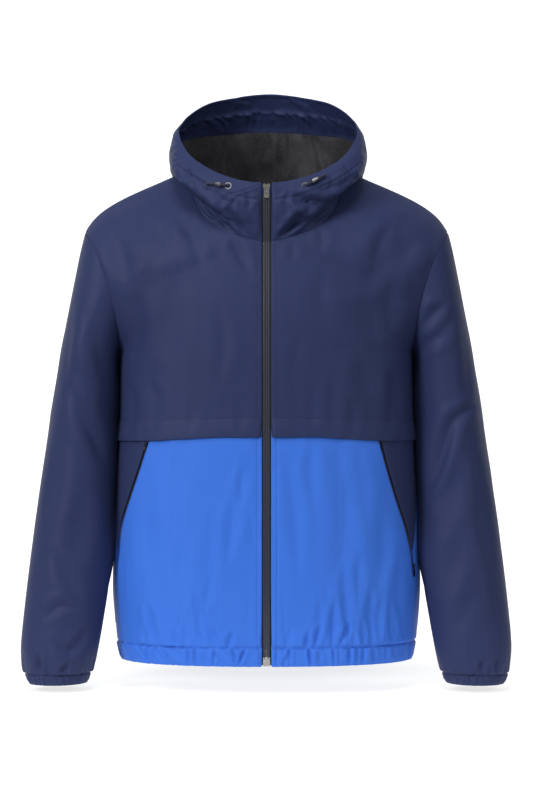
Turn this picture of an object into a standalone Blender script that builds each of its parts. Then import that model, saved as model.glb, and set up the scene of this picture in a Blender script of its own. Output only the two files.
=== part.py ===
"""A hooded windbreaker jacket, filled out as it is when worn.

Metres, +Z up. +X is the wearer's left and the front faces -Y. The origin is
midway between the two neck points, level with them.

Every cloth piece is cut from one of three surfaces: the torso, a sleeve or
the hood. Each surface is worked out from a short table of sections, and each
piece becomes a wall of cloth that follows it.
"""
import bpy
import bmesh
import numpy as np
from math import cos, pi, radians, sin
from mathutils import Matrix

# ---------------------------------------------------------------- sizes
CLOTH = 0.0016              # wall of the shell cloth with its turned seams
LINING = 0.0012             # wall of the facing and the lining
SEAM_GAP = 0.0003           # between two pieces that meet at a seam

ARMPIT_Z = -0.262
YOKE_Z = -0.380             # lower edge of the upper panels, a loose hemmed edge
YOKE_FLARE = 0.0030         # it stands off the lower panels by this much
FLARE_RUN = 0.035           # and starts to, this far above the edge
LOWER_TOP_Z = -0.372        # the lower panels run up behind that edge
HEM_SEAM_Z = -0.667
HEM_Z = -0.692
SIDE_Y = 0.005              # the side seams and the shoulders lie in this plane
UPPER_SPAN = 0.26           # how much "height" the rows above the armpit cover

ZIP_OPENING = 0.0070        # from the middle to a front edge
ROWS = 12                   # rows from the armpit to the shoulder seam
NECK_ROW_FRONT = 5          # the row that reaches the neck at the front
NECK_ROW_BACK = 6           # and the one that reaches it at the back
COLUMNS = 12                # points across half of the front or back
LOWER_COLUMNS = (10, 2)     # columns of a lower front before and behind the pocket slit
ARM_COLUMNS = 2 * ROWS

HEM_GATHERS = 50
CUFF_GATHERS = 18

# Torso below the armpit: height, half width, front and back of the middle.
TORSO = (
    # z      half     front    back
    (-0.692, 0.2045, -0.116, 0.106),
    (-0.667, 0.2085, -0.119, 0.109),
    (-0.600, 0.2157, -0.130, 0.117),
    (-0.500, 0.2130, -0.131, 0.118),
    (-0.377, 0.2075, -0.126, 0.114),
    (-0.300, 0.2060, -0.123, 0.110),
    (-0.262, 0.2059, -0.121, 0.108),
)
FULLNESS = 0.62             # how square a torso section is, 0.55 would be an ellipse

# Torso above the armpit: a row runs from the middle or the neck to the armhole.
# share 0 is the armpit row and 1 the shoulder seam; the two points steer the row.
FRONT_ROWS = (
    # share   inner steering point       outer steering point
    (0.250, (0.085, -0.116, -0.185), (0.175, -0.094, -0.220)),
    (0.417, (0.075, -0.102, -0.135), (0.160, -0.097, -0.175)),
    (0.600, (0.100, -0.094, -0.122), (0.168, -0.090, -0.145)),
    (0.750, (0.122, -0.0735, -0.092), (0.188, -0.071, -0.112)),
    (0.900, (0.140, -0.036, -0.054), (0.213, -0.036, -0.072)),
    (1.000, (0.150, 0.002, -0.028), (0.232, 0.004, -0.046)),
)
BACK_ROWS = (
    (0.250, (0.085, 0.110, -0.155), (0.172, 0.098, -0.200)),
    (0.500, (0.075, 0.094, -0.045), (0.150, 0.098, -0.120)),
    (0.750, (0.110, 0.072, -0.035), (0.180, 0.075, -0.085)),
    (0.900, (0.135, 0.036, -0.027), (0.213, 0.038, -0.060)),
    (1.000, (0.150, 0.002, -0.028), (0.232, 0.004, -0.046)),
)
# The middle of the front and back above the armpit, up to the neck seam.
FRONT_MIDDLE = ((-0.262, -0.121), (-0.220, -0.1165), (-0.170, -0.107), (-0.113, -0.092))
BACK_MIDDLE = ((-0.262, 0.108), (-0.180, 0.107), (-0.100, 0.098), (-0.018, 0.078))

# Sleeve rings from the armhole to the cuff seam: the points next to the body
# and farthest from it, then the ring's middle in y and its half depth.
SLEEVE = (
    # in x    in z    out x   out z    y      depth    bow
    (0.2059, -0.262, 0.2535, -0.095, 0.005, 0.0650, 0.0115),
    (0.2085, -0.268, 0.2622, -0.124, 0.006, 0.0680, 0.0080),
    (0.2090, -0.276, 0.2714, -0.165, 0.007, 0.0700, 0.0040),
    (0.2088, -0.288, 0.2790, -0.203, 0.008, 0.0710, 0.0010),
    (0.2086, -0.305, 0.2870, -0.245, 0.009, 0.0715, 0.0),
    (0.2090, -0.330, 0.2948, -0.290, 0.009, 0.0710, 0.0),
    (0.2116, -0.365, 0.3028, -0.337, 0.007, 0.0700, 0.0),
    (0.2106, -0.410, 0.3095, -0.387, 0.003, 0.0680, 0.0),
    (0.2124, -0.455, 0.3165, -0.437, -0.003, 0.0660, 0.0),
    (0.2144, -0.505, 0.3232, -0.490, -0.012, 0.0630, 0.0),
    (0.2162, -0.550, 0.3288, -0.540, -0.022, 0.0600, 0.0),
    (0.2212, -0.595, 0.3341, -0.590, -0.031, 0.0575, 0.0),
    (0.2275, -0.635, 0.3383, -0.635, -0.038, 0.0550, 0.0),
    (0.2335, -0.670, 0.3402, -0.671, -0.043, 0.0530, 0.0),
    (0.2385, -0.693, 0.3383, -0.695, -0.046, 0.0500, 0.0),
    (0.2455, -0.711, 0.3340, -0.712, -0.048, 0.0440, 0.0),
)
SLEEVE_PARTING = 7          # a sleeve is one cut piece in two solids, which meet at this ring
CUFF = (
    # in x    in z    out x   out z    y      depth
    (0.2455, -0.711, 0.3340, -0.712, -0.048, 0.0440),
    (0.2480, -0.719, 0.3310, -0.720, -0.048, 0.0425),
    (0.2500, -0.727, 0.3285, -0.728, -0.048, 0.0405),
)

# Hood profiles from the neck seam to the face edge, at angles round from the
# front. Each knot is a distance from the upright axis and a height.
HOOD = (
    # angle, then eight knots
    (0, ((0.092, -0.113), (0.0935, -0.102), (0.0955, -0.090), (0.0970, -0.079),
         (0.0980, -0.067), (0.0985, -0.055), (0.0985, -0.044), (0.098, -0.0335))),
    (25, ((0.097, -0.104), (0.0970, -0.095), (0.0975, -0.086), (0.1040, -0.078),
          (0.1085, -0.066), (0.1085, -0.052), (0.1060, -0.038), (0.102, -0.0275))),
    (45, ((0.1053, -0.088), (0.1025, -0.079), (0.1025, -0.069), (0.1130, -0.060),
          (0.1205, -0.047), (0.1210, -0.034), (0.1175, -0.021), (0.1106, -0.0127))),
    (65, ((0.1085, -0.055), (0.1075, -0.047), (0.1120, -0.038), (0.1250, -0.035),
          (0.1350, -0.023), (0.1360, -0.010), (0.1300, 0.003), (0.1205, 0.011))),
    (90, ((0.099, 0.000), (0.1080, 0.003), (0.1220, -0.005), (0.1340, -0.011),
          (0.1378, 0.000), (0.1368, 0.020), (0.1330, 0.040), (0.1275, 0.054))),
    (120, ((0.096, -0.006), (0.1060, -0.004), (0.1250, -0.020), (0.1420, -0.028),
           (0.1520, -0.006), (0.1490, 0.030), (0.1350, 0.060), (0.1125, 0.0925))),
    (150, ((0.083, -0.014), (0.1000, -0.022), (0.1210, -0.062), (0.1420, -0.080),
           (0.1620, -0.052), (0.1590, 0.000), (0.1290, 0.056), (0.097, 0.1068))),
    (180, ((0.078, -0.018), (0.0980, -0.036), (0.1170, -0.085), (0.1380, -0.112),
           (0.1600, -0.082), (0.1580, -0.012), (0.1230, 0.057), (0.092, 0.1127))),
)
HOOD_KNOTS = 7
HOOD_LEAN = 0.0050          # its back and its face edge lean to the wearer's left by up to this
HOOD_SEAM_ANGLE = 150       # the centre panel lies behind this angle on each side
HOOD_CENTRE_ANGLES = (HOOD_SEAM_ANGLE, 165, 180, -165, -HOOD_SEAM_ANGLE)
HOOD_ROWS = 12
LINING_ROWS = 8
LINING_DEPTH = 0.0017       # how far the facing and lining lie inside the hood's cloth
FACING_WIDTH = 0.058
FACING_ANGLE = 8.5          # the facing stops beside the front zip

# Pocket slits: their distance from the middle on each side, from the top down.
POCKET = (
    # z      left    right
    (-0.372, 0.1520, 0.1585),
    (-0.430, 0.1680, 0.1775),
    (-0.467, 0.1795, 0.1905),
    (-0.507, 0.1930, 0.2030),
    (-0.540, 0.2010, 0.2065),
    (-0.580, 0.2035, 0.2085),
)
WEDGE_SIDE_Z = -0.430       # the wedge's rear edge leaves the side seam here
WEDGE_APEX_Z = -0.540
SLIT_END_Z = -0.580
SLIT_HALF = 0.0022

# Rows of the lower panels and the hem band, and how far their gathers stand out.
LOWER_ROWS = (
    # z          gathers
    (HEM_SEAM_Z, 0.0010),
    (-0.652, 0.0024),
    (-0.630, 0.0014),
)
PLAIN_ROWS = (-0.606, SLIT_END_Z)
SLIT_ROWS = (SLIT_END_Z, WEDGE_APEX_Z, -0.505, -0.470, WEDGE_SIDE_Z, LOWER_TOP_Z)
HEM_ROWS = (
    (HEM_Z, 0.0006),
    (-0.680, 0.0020),
    (HEM_SEAM_Z, 0.0010),
)
CUFF_ROWS = (
    # ring, gathers
    (2, 0.0004),
    (1, 0.0018),
    (0, 0.0008),
)
WRIST_GATHERS = {15: 0.0008, 14: 0.0020}      # the same on the sleeve's last two rings

# The largest folds. side is 1 on the wearer's left and -1 on the right, and a
# fold runs between two points seen from the front or the back.
FOLDS = (
    # panel, side, x1, z1, x2, z2, depth, half width
    ("front", 1, 0.188, -0.098, 0.140, -0.166, -0.0050, 0.017),
    ("front", 1, 0.150, -0.190, 0.150, -0.235, -0.0040, 0.026),
    ("front", 1, 0.207, -0.106, 0.184, -0.144, -0.0030, 0.014),
    ("front", 1, 0.129, -0.275, 0.144, -0.324, -0.0025, 0.016),
    ("front", -1, -0.218, -0.094, -0.190, -0.166, -0.0045, 0.016),
    ("front", -1, -0.155, -0.089, -0.132, -0.125, -0.0030, 0.015),
    ("front", -1, -0.102, -0.095, -0.090, -0.146, -0.0030, 0.015),
    ("back", 1, 0.190, -0.110, 0.140, -0.190, -0.0050, 0.018),
    ("back", 1, 0.060, -0.150, 0.085, -0.300, -0.0030, 0.022),
    ("back", -1, -0.185, -0.115, -0.150, -0.200, -0.0050, 0.018),
    ("back", -1, -0.040, -0.180, -0.070, -0.330, -0.0030, 0.022),
    ("sleeve_front", 1, 0.297, -0.340, 0.250, -0.380, -0.0060, 0.017),
    ("sleeve_front", 1, 0.245, -0.205, 0.210, -0.232, -0.0040, 0.015),
    ("sleeve_front", 1, 0.300, -0.560, 0.262, -0.600, -0.0050, 0.018),
    ("sleeve_front", 1, 0.330, -0.630, 0.270, -0.655, -0.0040, 0.014),
    ("sleeve_front", -1, -0.268, -0.325, -0.240, -0.388, -0.0060, 0.017),
    ("sleeve_front", -1, -0.255, -0.430, -0.248, -0.510, -0.0060, 0.018),
    ("sleeve_front", -1, -0.290, -0.563, -0.262, -0.600, -0.0050, 0.018),
    ("sleeve_front", -1, -0.290, -0.660, -0.258, -0.685, -0.0040, 0.014),
    ("sleeve_back", 1, 0.290, -0.350, 0.235, -0.420, -0.0060, 0.018),
    ("sleeve_back", 1, 0.240, -0.470, 0.300, -0.520, -0.0050, 0.018),
    ("sleeve_back", -1, -0.285, -0.360, -0.240, -0.430, -0.0060, 0.018),
    ("sleeve_back", -1, -0.245, -0.540, -0.300, -0.590, -0.0050, 0.018),
)

# Front zip: two tapes with their teeth, the slider and its pull tab, the retainer box.
TEETH_HALF = 0.0040
TEETH_GAP = 0.0002          # from the middle to each row of teeth
TAPE_HALF = 0.0125
TAPE = 0.0009
ZIP_DEPTH = 0.0012          # how far the tapes lie behind the fronts
SLIDER = {"width": 0.0105, "length": 0.0150, "thick": 0.0036, "sink": 0.0020}
SLIDER_TOP_Z = -0.0345
PULL_AXIS_Z = -0.0395
PULL_LIFT = 0.00135         # from a slider's face to its pull tab's axis
PULL = {"width": 0.0074, "length": 0.0150, "bar": 0.0012, "window": 0.0038, "open": 0.0096}
BRIDGE = {"rise": 0.0027, "bar": 0.0010, "root": 0.0003}
BOX_TOP_Z = -0.6815
BOX_DEPTH = (-0.0012, 0.0030)

# Pocket zips, by side: the right slider is closed up to the top, the left one is low.
POCKET_TAPE_HALF = 0.0060
POCKET_DEPTH = 0.0012       # how far the pocket tape lies behind the cloth
COIL_HALF = 0.0014
COIL_RISE = 0.0009
POCKET_SLIDER = {"width": 0.0040, "length": 0.0085, "thick": 0.0022}
POCKET_SLIDER_Z = {1: -0.5560, -1: -0.3860}
POCKET_AXIS_DROP = 0.0034   # from the slider's top down to its pull tab's axis
POCKET_PULL = {
    1: {"width": 0.0050, "length": 0.0160, "bar": 0.0010, "window": 0.0032, "open": 0.0058},
    -1: {"width": 0.0030, "length": 0.0100, "bar": 0.0010, "window": 0.0012, "open": 0.0058},
}

# Hood drawcord: it comes out of an eyelet and lies on the hood.
EYELET_ANGLE = 29
EYELET_KNOT = 5.85
EYELET = {"outer": 0.0053, "inner": 0.0033, "thick": 0.0010, "standoff": 0.0006}
CORD_DIAMETER = 0.0032
CORD_GAP = 0.0004           # between the cord and the ends of its lock
HOOD_RADIUS = 0.112         # of the hood's front where the cord runs along it
KNOT_RUN = 0.0125           # the height of one knot there
CORD_RISE = (
    # along   above the cloth
    (0.0000, 0.0020),
    (0.0009, 0.0030),
    (0.0024, 0.0038),
    (0.0048, 0.0048),
    (0.0080, 0.0048),
)
CORD_POINTS = 9
CORD = (
    # side, eyelet to lock, lock length, tail beyond the lock, slope
    (1, 0.0080, 0.0110, 0.0120, 0.12),
    (-1, 0.0080, 0.0090, 0.0136, -0.30),
)
LOCK_RADIUS = 0.0034
TAIL_DROOP = 0.0012

FINISHES = {
    # colour, roughness, metallic
    "navy": ((0.020, 0.026, 0.075), 0.48, 0.0),
    "blue": ((0.030, 0.110, 0.620), 0.48, 0.0),
    "grey": ((0.035, 0.036, 0.040), 0.90, 0.0),
    "tape_navy": ((0.014, 0.017, 0.040), 0.75, 0.0),
    "nickel": ((0.62, 0.62, 0.60), 0.28, 1.0),
    "gunmetal": ((0.05, 0.05, 0.055), 0.35, 1.0),
    "braid": ((0.03, 0.035, 0.06), 0.85, 0.0),
}
SIDES = {1: "left", -1: "right"}        # the wearer's


# ---------------------------------------------------------------- curves
def smooth(knots, values, at, level_ends=False):
    """A cubic curve through the rows of a table, read at one or many places."""
    knots = np.asarray(knots, float)
    values = np.asarray(values, float)
    steps = np.diff(knots)[:, None]
    chords = np.diff(values, axis=0) / steps
    slopes = np.zeros_like(values)
    slopes[1:-1] = (chords[:-1] * steps[1:] + chords[1:] * steps[:-1]) / (steps[:-1] + steps[1:])
    if not level_ends:
        slopes[0], slopes[-1] = chords[0], chords[-1]
    at = np.clip(np.atleast_1d(np.asarray(at, float)), knots[0], knots[-1])
    i = np.clip(np.searchsorted(knots, at, side="right") - 1, 0, len(steps) - 1)
    h = steps[i]
    w = (at[:, None] - knots[i][:, None]) / h
    start = (1 + 2 * w) * (1 - w) ** 2 * values[i] + w * (1 - w) ** 2 * h * slopes[i]
    end = w ** 2 * (3 - 2 * w) * values[i + 1] + w ** 2 * (w - 1) * h * slopes[i + 1]
    return start + end


def ease(x):
    """0 to 1 with level ends."""
    x = np.clip(x, 0, 1)
    return x * x * (3 - 2 * x)


def unit(v):
    """Vectors of length 1."""
    v = np.asarray(v, float)
    return v / np.maximum(np.linalg.norm(v, axis=-1, keepdims=True), 1e-12)


def hood_profile(angle):
    """The eight knots of the hood's section at an angle from the front."""
    table = [np.ravel(knots) for _, knots in HOOD]
    return smooth([row[0] for row in HOOD], table, abs(angle), level_ends=True).reshape(-1, 2)


def hood(angle, knots):
    """Points of the hood at one signed angle, at the given knots 0 to 7."""
    profile = smooth(range(HOOD_KNOTS + 1), hood_profile(angle), knots)
    away, height = profile[:, 0], profile[:, 1]
    turn = radians(angle)
    lean = HOOD_LEAN * (1 - cos(turn)) / 2 * np.asarray(knots, float) / HOOD_KNOTS
    return np.stack([away * sin(turn) + lean, -away * cos(turn), height], axis=1)


def sleeve(side, ring, angle):
    """A point of the sleeve: ring 0 is the armhole, angle 0 its lowest point, 90 its front."""
    in_x, in_z, out_x, out_z, y, depth, bow = smooth(range(len(SLEEVE)), SLEEVE, ring)[0]
    turn = np.radians(np.atleast_1d(angle))
    x = (in_x + out_x) / 2 - (out_x - in_x) / 2 * np.cos(turn) - bow * np.sin(turn) ** 2
    z = (in_z + out_z) / 2 - (out_z - in_z) / 2 * np.cos(turn)
    return np.stack([side * x, y - depth * np.sin(turn), z], axis=1)


def cuff(side, ring, angle):
    """A point of the cuff: ring 0 is its seam and ring 2 its lower edge."""
    in_x, in_z, out_x, out_z, y, depth = smooth(range(len(CUFF)), CUFF, ring)[0]
    turn = np.radians(np.atleast_1d(angle))
    x = (in_x + out_x) / 2 - (out_x - in_x) / 2 * np.cos(turn)
    z = (in_z + out_z) / 2 - (out_z - in_z) / 2 * np.cos(turn)
    return np.stack([side * x, y - depth * np.sin(turn), z], axis=1)


def torso_steering(face):
    """The two steering points of every torso row on the front or the back."""
    heights, points = [], []
    column = 2 if face == "front" else 3
    for row in TORSO:
        z, half, middle = row[0], row[1], row[column]
        heights.append(z - ARMPIT_Z)
        points.append((FULLNESS * half, middle, z,
                       half, SIDE_Y + FULLNESS * (middle - SIDE_Y), z))
    for share, inner, outer in (FRONT_ROWS if face == "front" else BACK_ROWS):
        heights.append(share * UPPER_SPAN)
        points.append(inner + outer)
    return heights, points


STEERING = {face: torso_steering(face) for face in ("front", "back")}


def inner_edge(face, height):
    """Where a torso row starts: on the middle line, or on the neck above it."""
    rows = NECK_ROW_FRONT if face == "front" else NECK_ROW_BACK
    middle = FRONT_MIDDLE if face == "front" else BACK_MIDDLE
    share = max(height, 0) / UPPER_SPAN
    first = rows / ROWS
    x = ZIP_OPENING if face == "front" else 0.0
    if height <= 0:
        z = ARMPIT_Z + height
        column = 2 if face == "front" else 3
        y = smooth([row[0] for row in TORSO], [[row[column]] for row in TORSO], z)[0, 0]
        return np.array((x, y, z))
    if share <= first:
        z = ARMPIT_Z + (middle[-1][0] - ARMPIT_Z) * share / first
        y = smooth([row[0] for row in middle], [[row[1]] for row in middle], z)[0, 0]
        return np.array((x, y, z))
    return hood(neck_angle(face, share), 0)[0]


def neck_angle(face, share):
    """The angle round the neck that a torso row above the neck's middle starts at."""
    if face == "front":
        first = NECK_ROW_FRONT / ROWS
        start = np.degrees(np.arcsin(ZIP_OPENING / HOOD[0][1][0][0]))
        return start + (90 - start) * (share - first) / (1 - first)
    first = NECK_ROW_BACK / ROWS
    return 180 - 90 * (share - first) / (1 - first)


def outer_edge(face, height):
    """Where a torso row ends: on the side seam, or on the armhole above it."""
    if height <= 0:
        z = ARMPIT_Z + height
        half = smooth([row[0] for row in TORSO], [[row[1]] for row in TORSO], z)[0, 0]
        return np.array((half, SIDE_Y, z))
    turn = 180 * height / UPPER_SPAN
    return sleeve(1, 0, turn if face == "front" else -turn)[0]


def torso(face, side, height, across):
    """Points of one torso row, across 0 at the middle or neck and 1 at the side or armhole.

    height is measured from the armpit; above it, UPPER_SPAN takes the rows
    round to the shoulder seam.
    """
    a, d = inner_edge(face, height), outer_edge(face, height)
    heights, points = STEERING[face]
    steer = smooth(heights, points, height)[0]
    b, c = steer[:3], steer[3:]
    u = np.atleast_1d(np.asarray(across, float))[:, None]
    row = (1 - u) ** 3 * a + 3 * (1 - u) ** 2 * u * b + 3 * (1 - u) * u ** 2 * c + u ** 3 * d
    return row * (side, 1, 1)


def across_at(face, height, x):
    """How far across a torso row reaches a distance x from the middle."""
    steps = np.linspace(0, 1, 201)
    return float(np.interp(x, torso(face, 1, height, steps)[:, 0], steps))


def fold_depth(panel, side, points):
    """How far the largest folds press each point in, by its place seen from front or back."""
    depth = np.zeros(len(points))
    flat = points[:, [0, 2]]
    for where, fold_side, x1, z1, x2, z2, deep, half in FOLDS:
        if where != panel or fold_side != side:
            continue
        start, run = np.array((x1, z1)), np.array((x2 - x1, z2 - z1))
        along = np.clip((flat - start) @ run / (run @ run), 0, 1)
        away = np.linalg.norm(flat - start - along[:, None] * run, axis=1)
        taper = 0.35 + 0.65 * np.sin(pi * along)
        trough = np.exp(-(away / half) ** 2)
        ridge = 0.45 * np.exp(-((away - 1.9 * half) / half) ** 2)
        depth += deep * taper * (trough - ridge)
    return depth


# ---------------------------------------------------------------- sheets and walls
class Sheet:
    """The outer surface of a cloth piece: welded points and faces seen from outside."""

    def __init__(self, wall=CLOTH):
        self.points = []
        self.lifts = []
        self.faces = []
        self.places = {}
        self.wall = wall

    def row(self, points, lifts=0.0):
        """Add a row of points, each with how far gathers raise it, and return its numbers."""
        lifts = np.broadcast_to(lifts, len(points))
        numbers = []
        for point, lift in zip(points, lifts):
            key = place(point)
            if key not in self.places:
                self.places[key] = len(self.points)
                self.points.append(np.array(point, float))
                self.lifts.append(float(lift))
            numbers.append(self.places[key])
        return numbers

    def strip(self, low, high):
        """Faces between two rows that both run to the viewer's right, seen from outside."""
        i = j = 0
        while i < len(low) - 1 or j < len(high) - 1:
            next_low = (i + 1) / (len(low) - 1) if i < len(low) - 1 else 2
            next_high = (j + 1) / (len(high) - 1) if j < len(high) - 1 else 2
            if abs(next_low - next_high) < 1e-6:
                self.face(low[i], low[i + 1], high[j + 1])
                self.face(low[i], high[j + 1], high[j])
                i, j = i + 1, j + 1
            elif next_low < next_high:
                self.face(low[i], low[i + 1], high[j])
                i += 1
            else:
                self.face(low[i], high[j + 1], high[j])
                j += 1

    def face(self, *corners):
        """Add a face, without the corners that fall together."""
        kept = [c for n, c in enumerate(corners) if c != corners[n - 1]]
        if len(kept) > 2:
            self.faces.append(tuple(kept))

    def strips(self, rows):
        for low, high in zip(rows, rows[1:]):
            self.strip(low, high)

    def mirrored(self):
        """Turn the faces over, for a piece on the wearer's right."""
        self.faces = [face[::-1] for face in self.faces]

    def finish(self):
        """Work out the normals and the edges."""
        self.points = np.array(self.points)
        self.lifts = np.array(self.lifts)
        self.normals = np.zeros_like(self.points)
        for face in self.faces:
            for n, corner in enumerate(face):
                here = self.points[corner]
                ahead = unit(self.points[face[(n + 1) % len(face)]] - here)
                behind = unit(self.points[face[n - 1]] - here)
                angle = np.arccos(np.clip(ahead @ behind, -1, 1))
                self.normals[corner] += unit(np.cross(ahead, behind)) * angle
        self.normals = unit(self.normals)
        lean, count = np.zeros(len(self.points)), np.zeros(len(self.points))
        for face in self.faces:
            a, b, c = self.points[list(face[:3])]
            flat = unit(np.cross(b - a, c - a))
            for corner in face:
                lean[corner] += self.normals[corner] @ flat
                count[corner] += 1
        self.stretch = np.clip(count / np.maximum(lean, 1e-6), 1.0, 1.25)
        self.find_edges()

    def find_edges(self):
        """Note the face sides that only one face has, and their points."""
        used = {}
        for face in self.faces:
            for a, b in zip(face, face[1:] + face[:1]):
                used[(a, b)] = face
        self.edges = [(a, b) for a, b in used if (b, a) not in used]
        self.border = sorted({a for edge in self.edges for a in edge})

    def part(self, faces):
        """A finished sheet of some of this one's faces, on the same points and normals."""
        kept = sorted({corner for face in faces for corner in face})
        number = {corner: n for n, corner in enumerate(kept)}
        made = Sheet(self.wall)
        made.points, made.normals = self.points[kept], self.normals[kept]
        made.lifts, made.stretch = self.lifts[kept], self.stretch[kept]
        made.faces = [tuple(number[corner] for corner in face) for face in faces]
        made.find_edges()
        return made

    def fold(self, panel, side):
        """Press the largest folds in, but not at the seams."""
        inside = np.ones(len(self.points))
        inside[self.border] = 0
        depth = fold_depth(panel, side, self.points) * inside
        self.points = self.points + self.normals * depth[:, None]

    def pull_back(self, distance):
        """Draw the edges in along the cloth, so that neighbours stand apart."""
        inward = np.zeros_like(self.points)
        for a, b in self.edges:
            along = unit(self.points[b] - self.points[a])
            for corner in (a, b):
                inward[corner] += np.cross(self.normals[corner], along)
        lengths = np.linalg.norm(inward, axis=1)
        moved = lengths > 1e-9
        inward[moved] /= lengths[moved, None] ** 2 / np.maximum(lengths[moved, None], 1)
        self.points = self.points + np.clip(inward, -1.5, 1.5) * distance


def place(point):
    """A point's place to a hundredth of a millimetre, to know it again."""
    return tuple(int(round(float(c) * 1e5)) for c in point)


def share_normals(sheets, valleys=True):
    """Average the normals where two pieces meet, less so where they meet in a tight valley."""
    meeting = {}
    for sheet in sheets:
        for corner in sheet.border:
            meeting.setdefault(place(sheet.points[corner]), []).append((sheet, corner))
    for group in meeting.values():
        own = [sheet.normals[corner].copy() for sheet, corner in group]
        stretch = max(sheet.stretch[corner] for sheet, corner in group)
        for (sheet, corner), mine in zip(group, own):
            total = mine.copy()
            for other in own:
                if other is not mine:
                    total += other * (ease((mine @ other + 0.2) / 0.8) if valleys else 1)
            sheet.normals[corner] = unit(total)
            sheet.stretch[corner] = stretch


def wall_object(name, sheet, finish):
    """Give a sheet its thickness and make it an object."""
    outer = sheet.points + sheet.normals * sheet.lifts[:, None]
    inner = sheet.points - sheet.normals * (sheet.wall * sheet.stretch)[:, None]
    count = len(outer)
    faces = list(sheet.faces)
    faces += [tuple(count + c for c in reversed(face)) for face in sheet.faces]
    faces += [(b, a, count + a, count + b) for a, b in sheet.edges]
    return mesh_object(name, np.vstack([outer, inner]), faces, finish)


# ---------------------------------------------------------------- objects
def material(finish):
    """One Principled BSDF for each finish."""
    made = bpy.data.materials.get(finish)
    if made:
        return made
    made = bpy.data.materials.new(finish)
    made.use_nodes = True
    shader = made.node_tree.nodes["Principled BSDF"]
    colour, rough, metal = FINISHES[finish]
    shader.inputs["Base Color"].default_value = (*colour, 1)
    shader.inputs["Roughness"].default_value = rough
    shader.inputs["Metallic"].default_value = metal
    return made


def mesh_object(name, points, faces, finish):
    mesh = bpy.data.meshes.new(name)
    mesh.from_pydata([tuple(float(c) for c in p) for p in points], [], faces)
    mesh.validate()
    mesh.materials.append(material(finish))
    mesh.shade_smooth()
    mesh.set_sharp_from_angle(angle=radians(40))
    made = bpy.data.objects.new(name, mesh)
    bpy.context.scene.collection.objects.link(made)
    return made


def bmesh_object(name, build, finish, frame):
    """An object from a function that fills a bmesh, placed by a 4 x 4 frame."""
    shape = bmesh.new()
    build(shape)
    bmesh.ops.recalc_face_normals(shape, faces=shape.faces)
    mesh = bpy.data.meshes.new(name)
    shape.to_mesh(mesh)
    shape.free()
    mesh.materials.append(material(finish))
    mesh.shade_smooth()
    mesh.set_sharp_from_angle(angle=radians(35))
    made = bpy.data.objects.new(name, mesh)
    made.matrix_world = frame
    bpy.context.scene.collection.objects.link(made)
    return made


def sweep(name, path, sides, outs, profile, finish):
    """A closed profile of (sideways, outward) points carried along a path."""
    points, faces = [], []
    count = len(profile)
    for p, s, o in zip(path, sides, outs):
        points += [p + s * a + o * b for a, b in profile]
    for n in range(len(path) - 1):
        for k in range(count):
            a, b = n * count + k, n * count + (k + 1) % count
            faces.append((a, b, b + count, a + count))
    faces.append(tuple(range(count))[::-1])
    faces.append(tuple(range(len(points) - count, len(points))))
    made = mesh_object(name, points, faces, finish)
    shape = bmesh.new()
    shape.from_mesh(made.data)
    bmesh.ops.recalc_face_normals(shape, faces=shape.faces)
    shape.to_mesh(made.data)
    shape.free()
    return made


def axes_frame(origin, x, y, z):
    """A frame with its origin and three unit axes."""
    rows = np.eye(4)
    rows[:3, 0], rows[:3, 1], rows[:3, 2], rows[:3, 3] = x, y, z, origin
    return Matrix(rows.tolist())


# ---------------------------------------------------------------- torso pieces
def upper_heights():
    """Rows of the upper panels: the loose edge, three down the side, then to the shoulder."""
    below = [YOKE_Z - ARMPIT_Z, -0.092, -0.062, -0.030]
    return below + [UPPER_SPAN * n / ROWS for n in range(ROWS + 1)]


def flare(sheet):
    """Stand the loose lower edge of an upper panel off the panels behind it."""
    share = ease((YOKE_Z + FLARE_RUN - sheet.points[:, 2]) / FLARE_RUN)
    sheet.points = sheet.points + sheet.normals * (YOKE_FLARE * share)[:, None]


def front_upper(side):
    sheet = Sheet()
    across = np.linspace(0, 1, COLUMNS)
    sheet.strips([sheet.row(torso("front", side, h, across)) for h in upper_heights()])
    if side < 0:
        sheet.mirrored()
    sheet.finish()
    sheet.fold("front", side)
    return sheet


def back_upper():
    sheet = Sheet()
    across = np.linspace(0, 1, COLUMNS)
    for side in SIDES:
        sheet.strips([sheet.row(torso("back", side, h, across[::-side])) for h in upper_heights()])
    sheet.finish()
    sheet.fold("back", 1)
    sheet.fold("back", -1)
    return sheet


def gather_lifts(count, amount):
    """Every other point of a row stands out."""
    return amount * (np.arange(count) % 2)


def pocket_across(side, z, offset=0.0):
    """How far across its row a pocket slit lies, moved sideways by an offset."""
    column = 1 if side > 0 else 2
    x = smooth([-row[0] for row in POCKET], [[row[column]] for row in POCKET], -z)[0, 0]
    return across_at("front", z - ARMPIT_Z, x + offset)


def wedge_across(side, z):
    """How far across its row the wedge's rear edge lies: from its apex out to the side seam."""
    apex = pocket_across(side, WEDGE_APEX_Z, SLIT_HALF)
    return apex + (1 - apex) * np.clip((z - WEDGE_APEX_Z) / (WEDGE_SIDE_Z - WEDGE_APEX_Z), 0, 1)


def across_front(side, count):
    """Places across a lower front row, with one of them right below the pocket slit."""
    inner, outer = LOWER_COLUMNS
    slit = pocket_across(side, SLIT_END_Z)
    near = round((count - 1) * inner / (inner + outer))
    return np.concatenate([np.linspace(0, slit, near + 1), np.linspace(slit, 1, count - near)[1:]])


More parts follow.
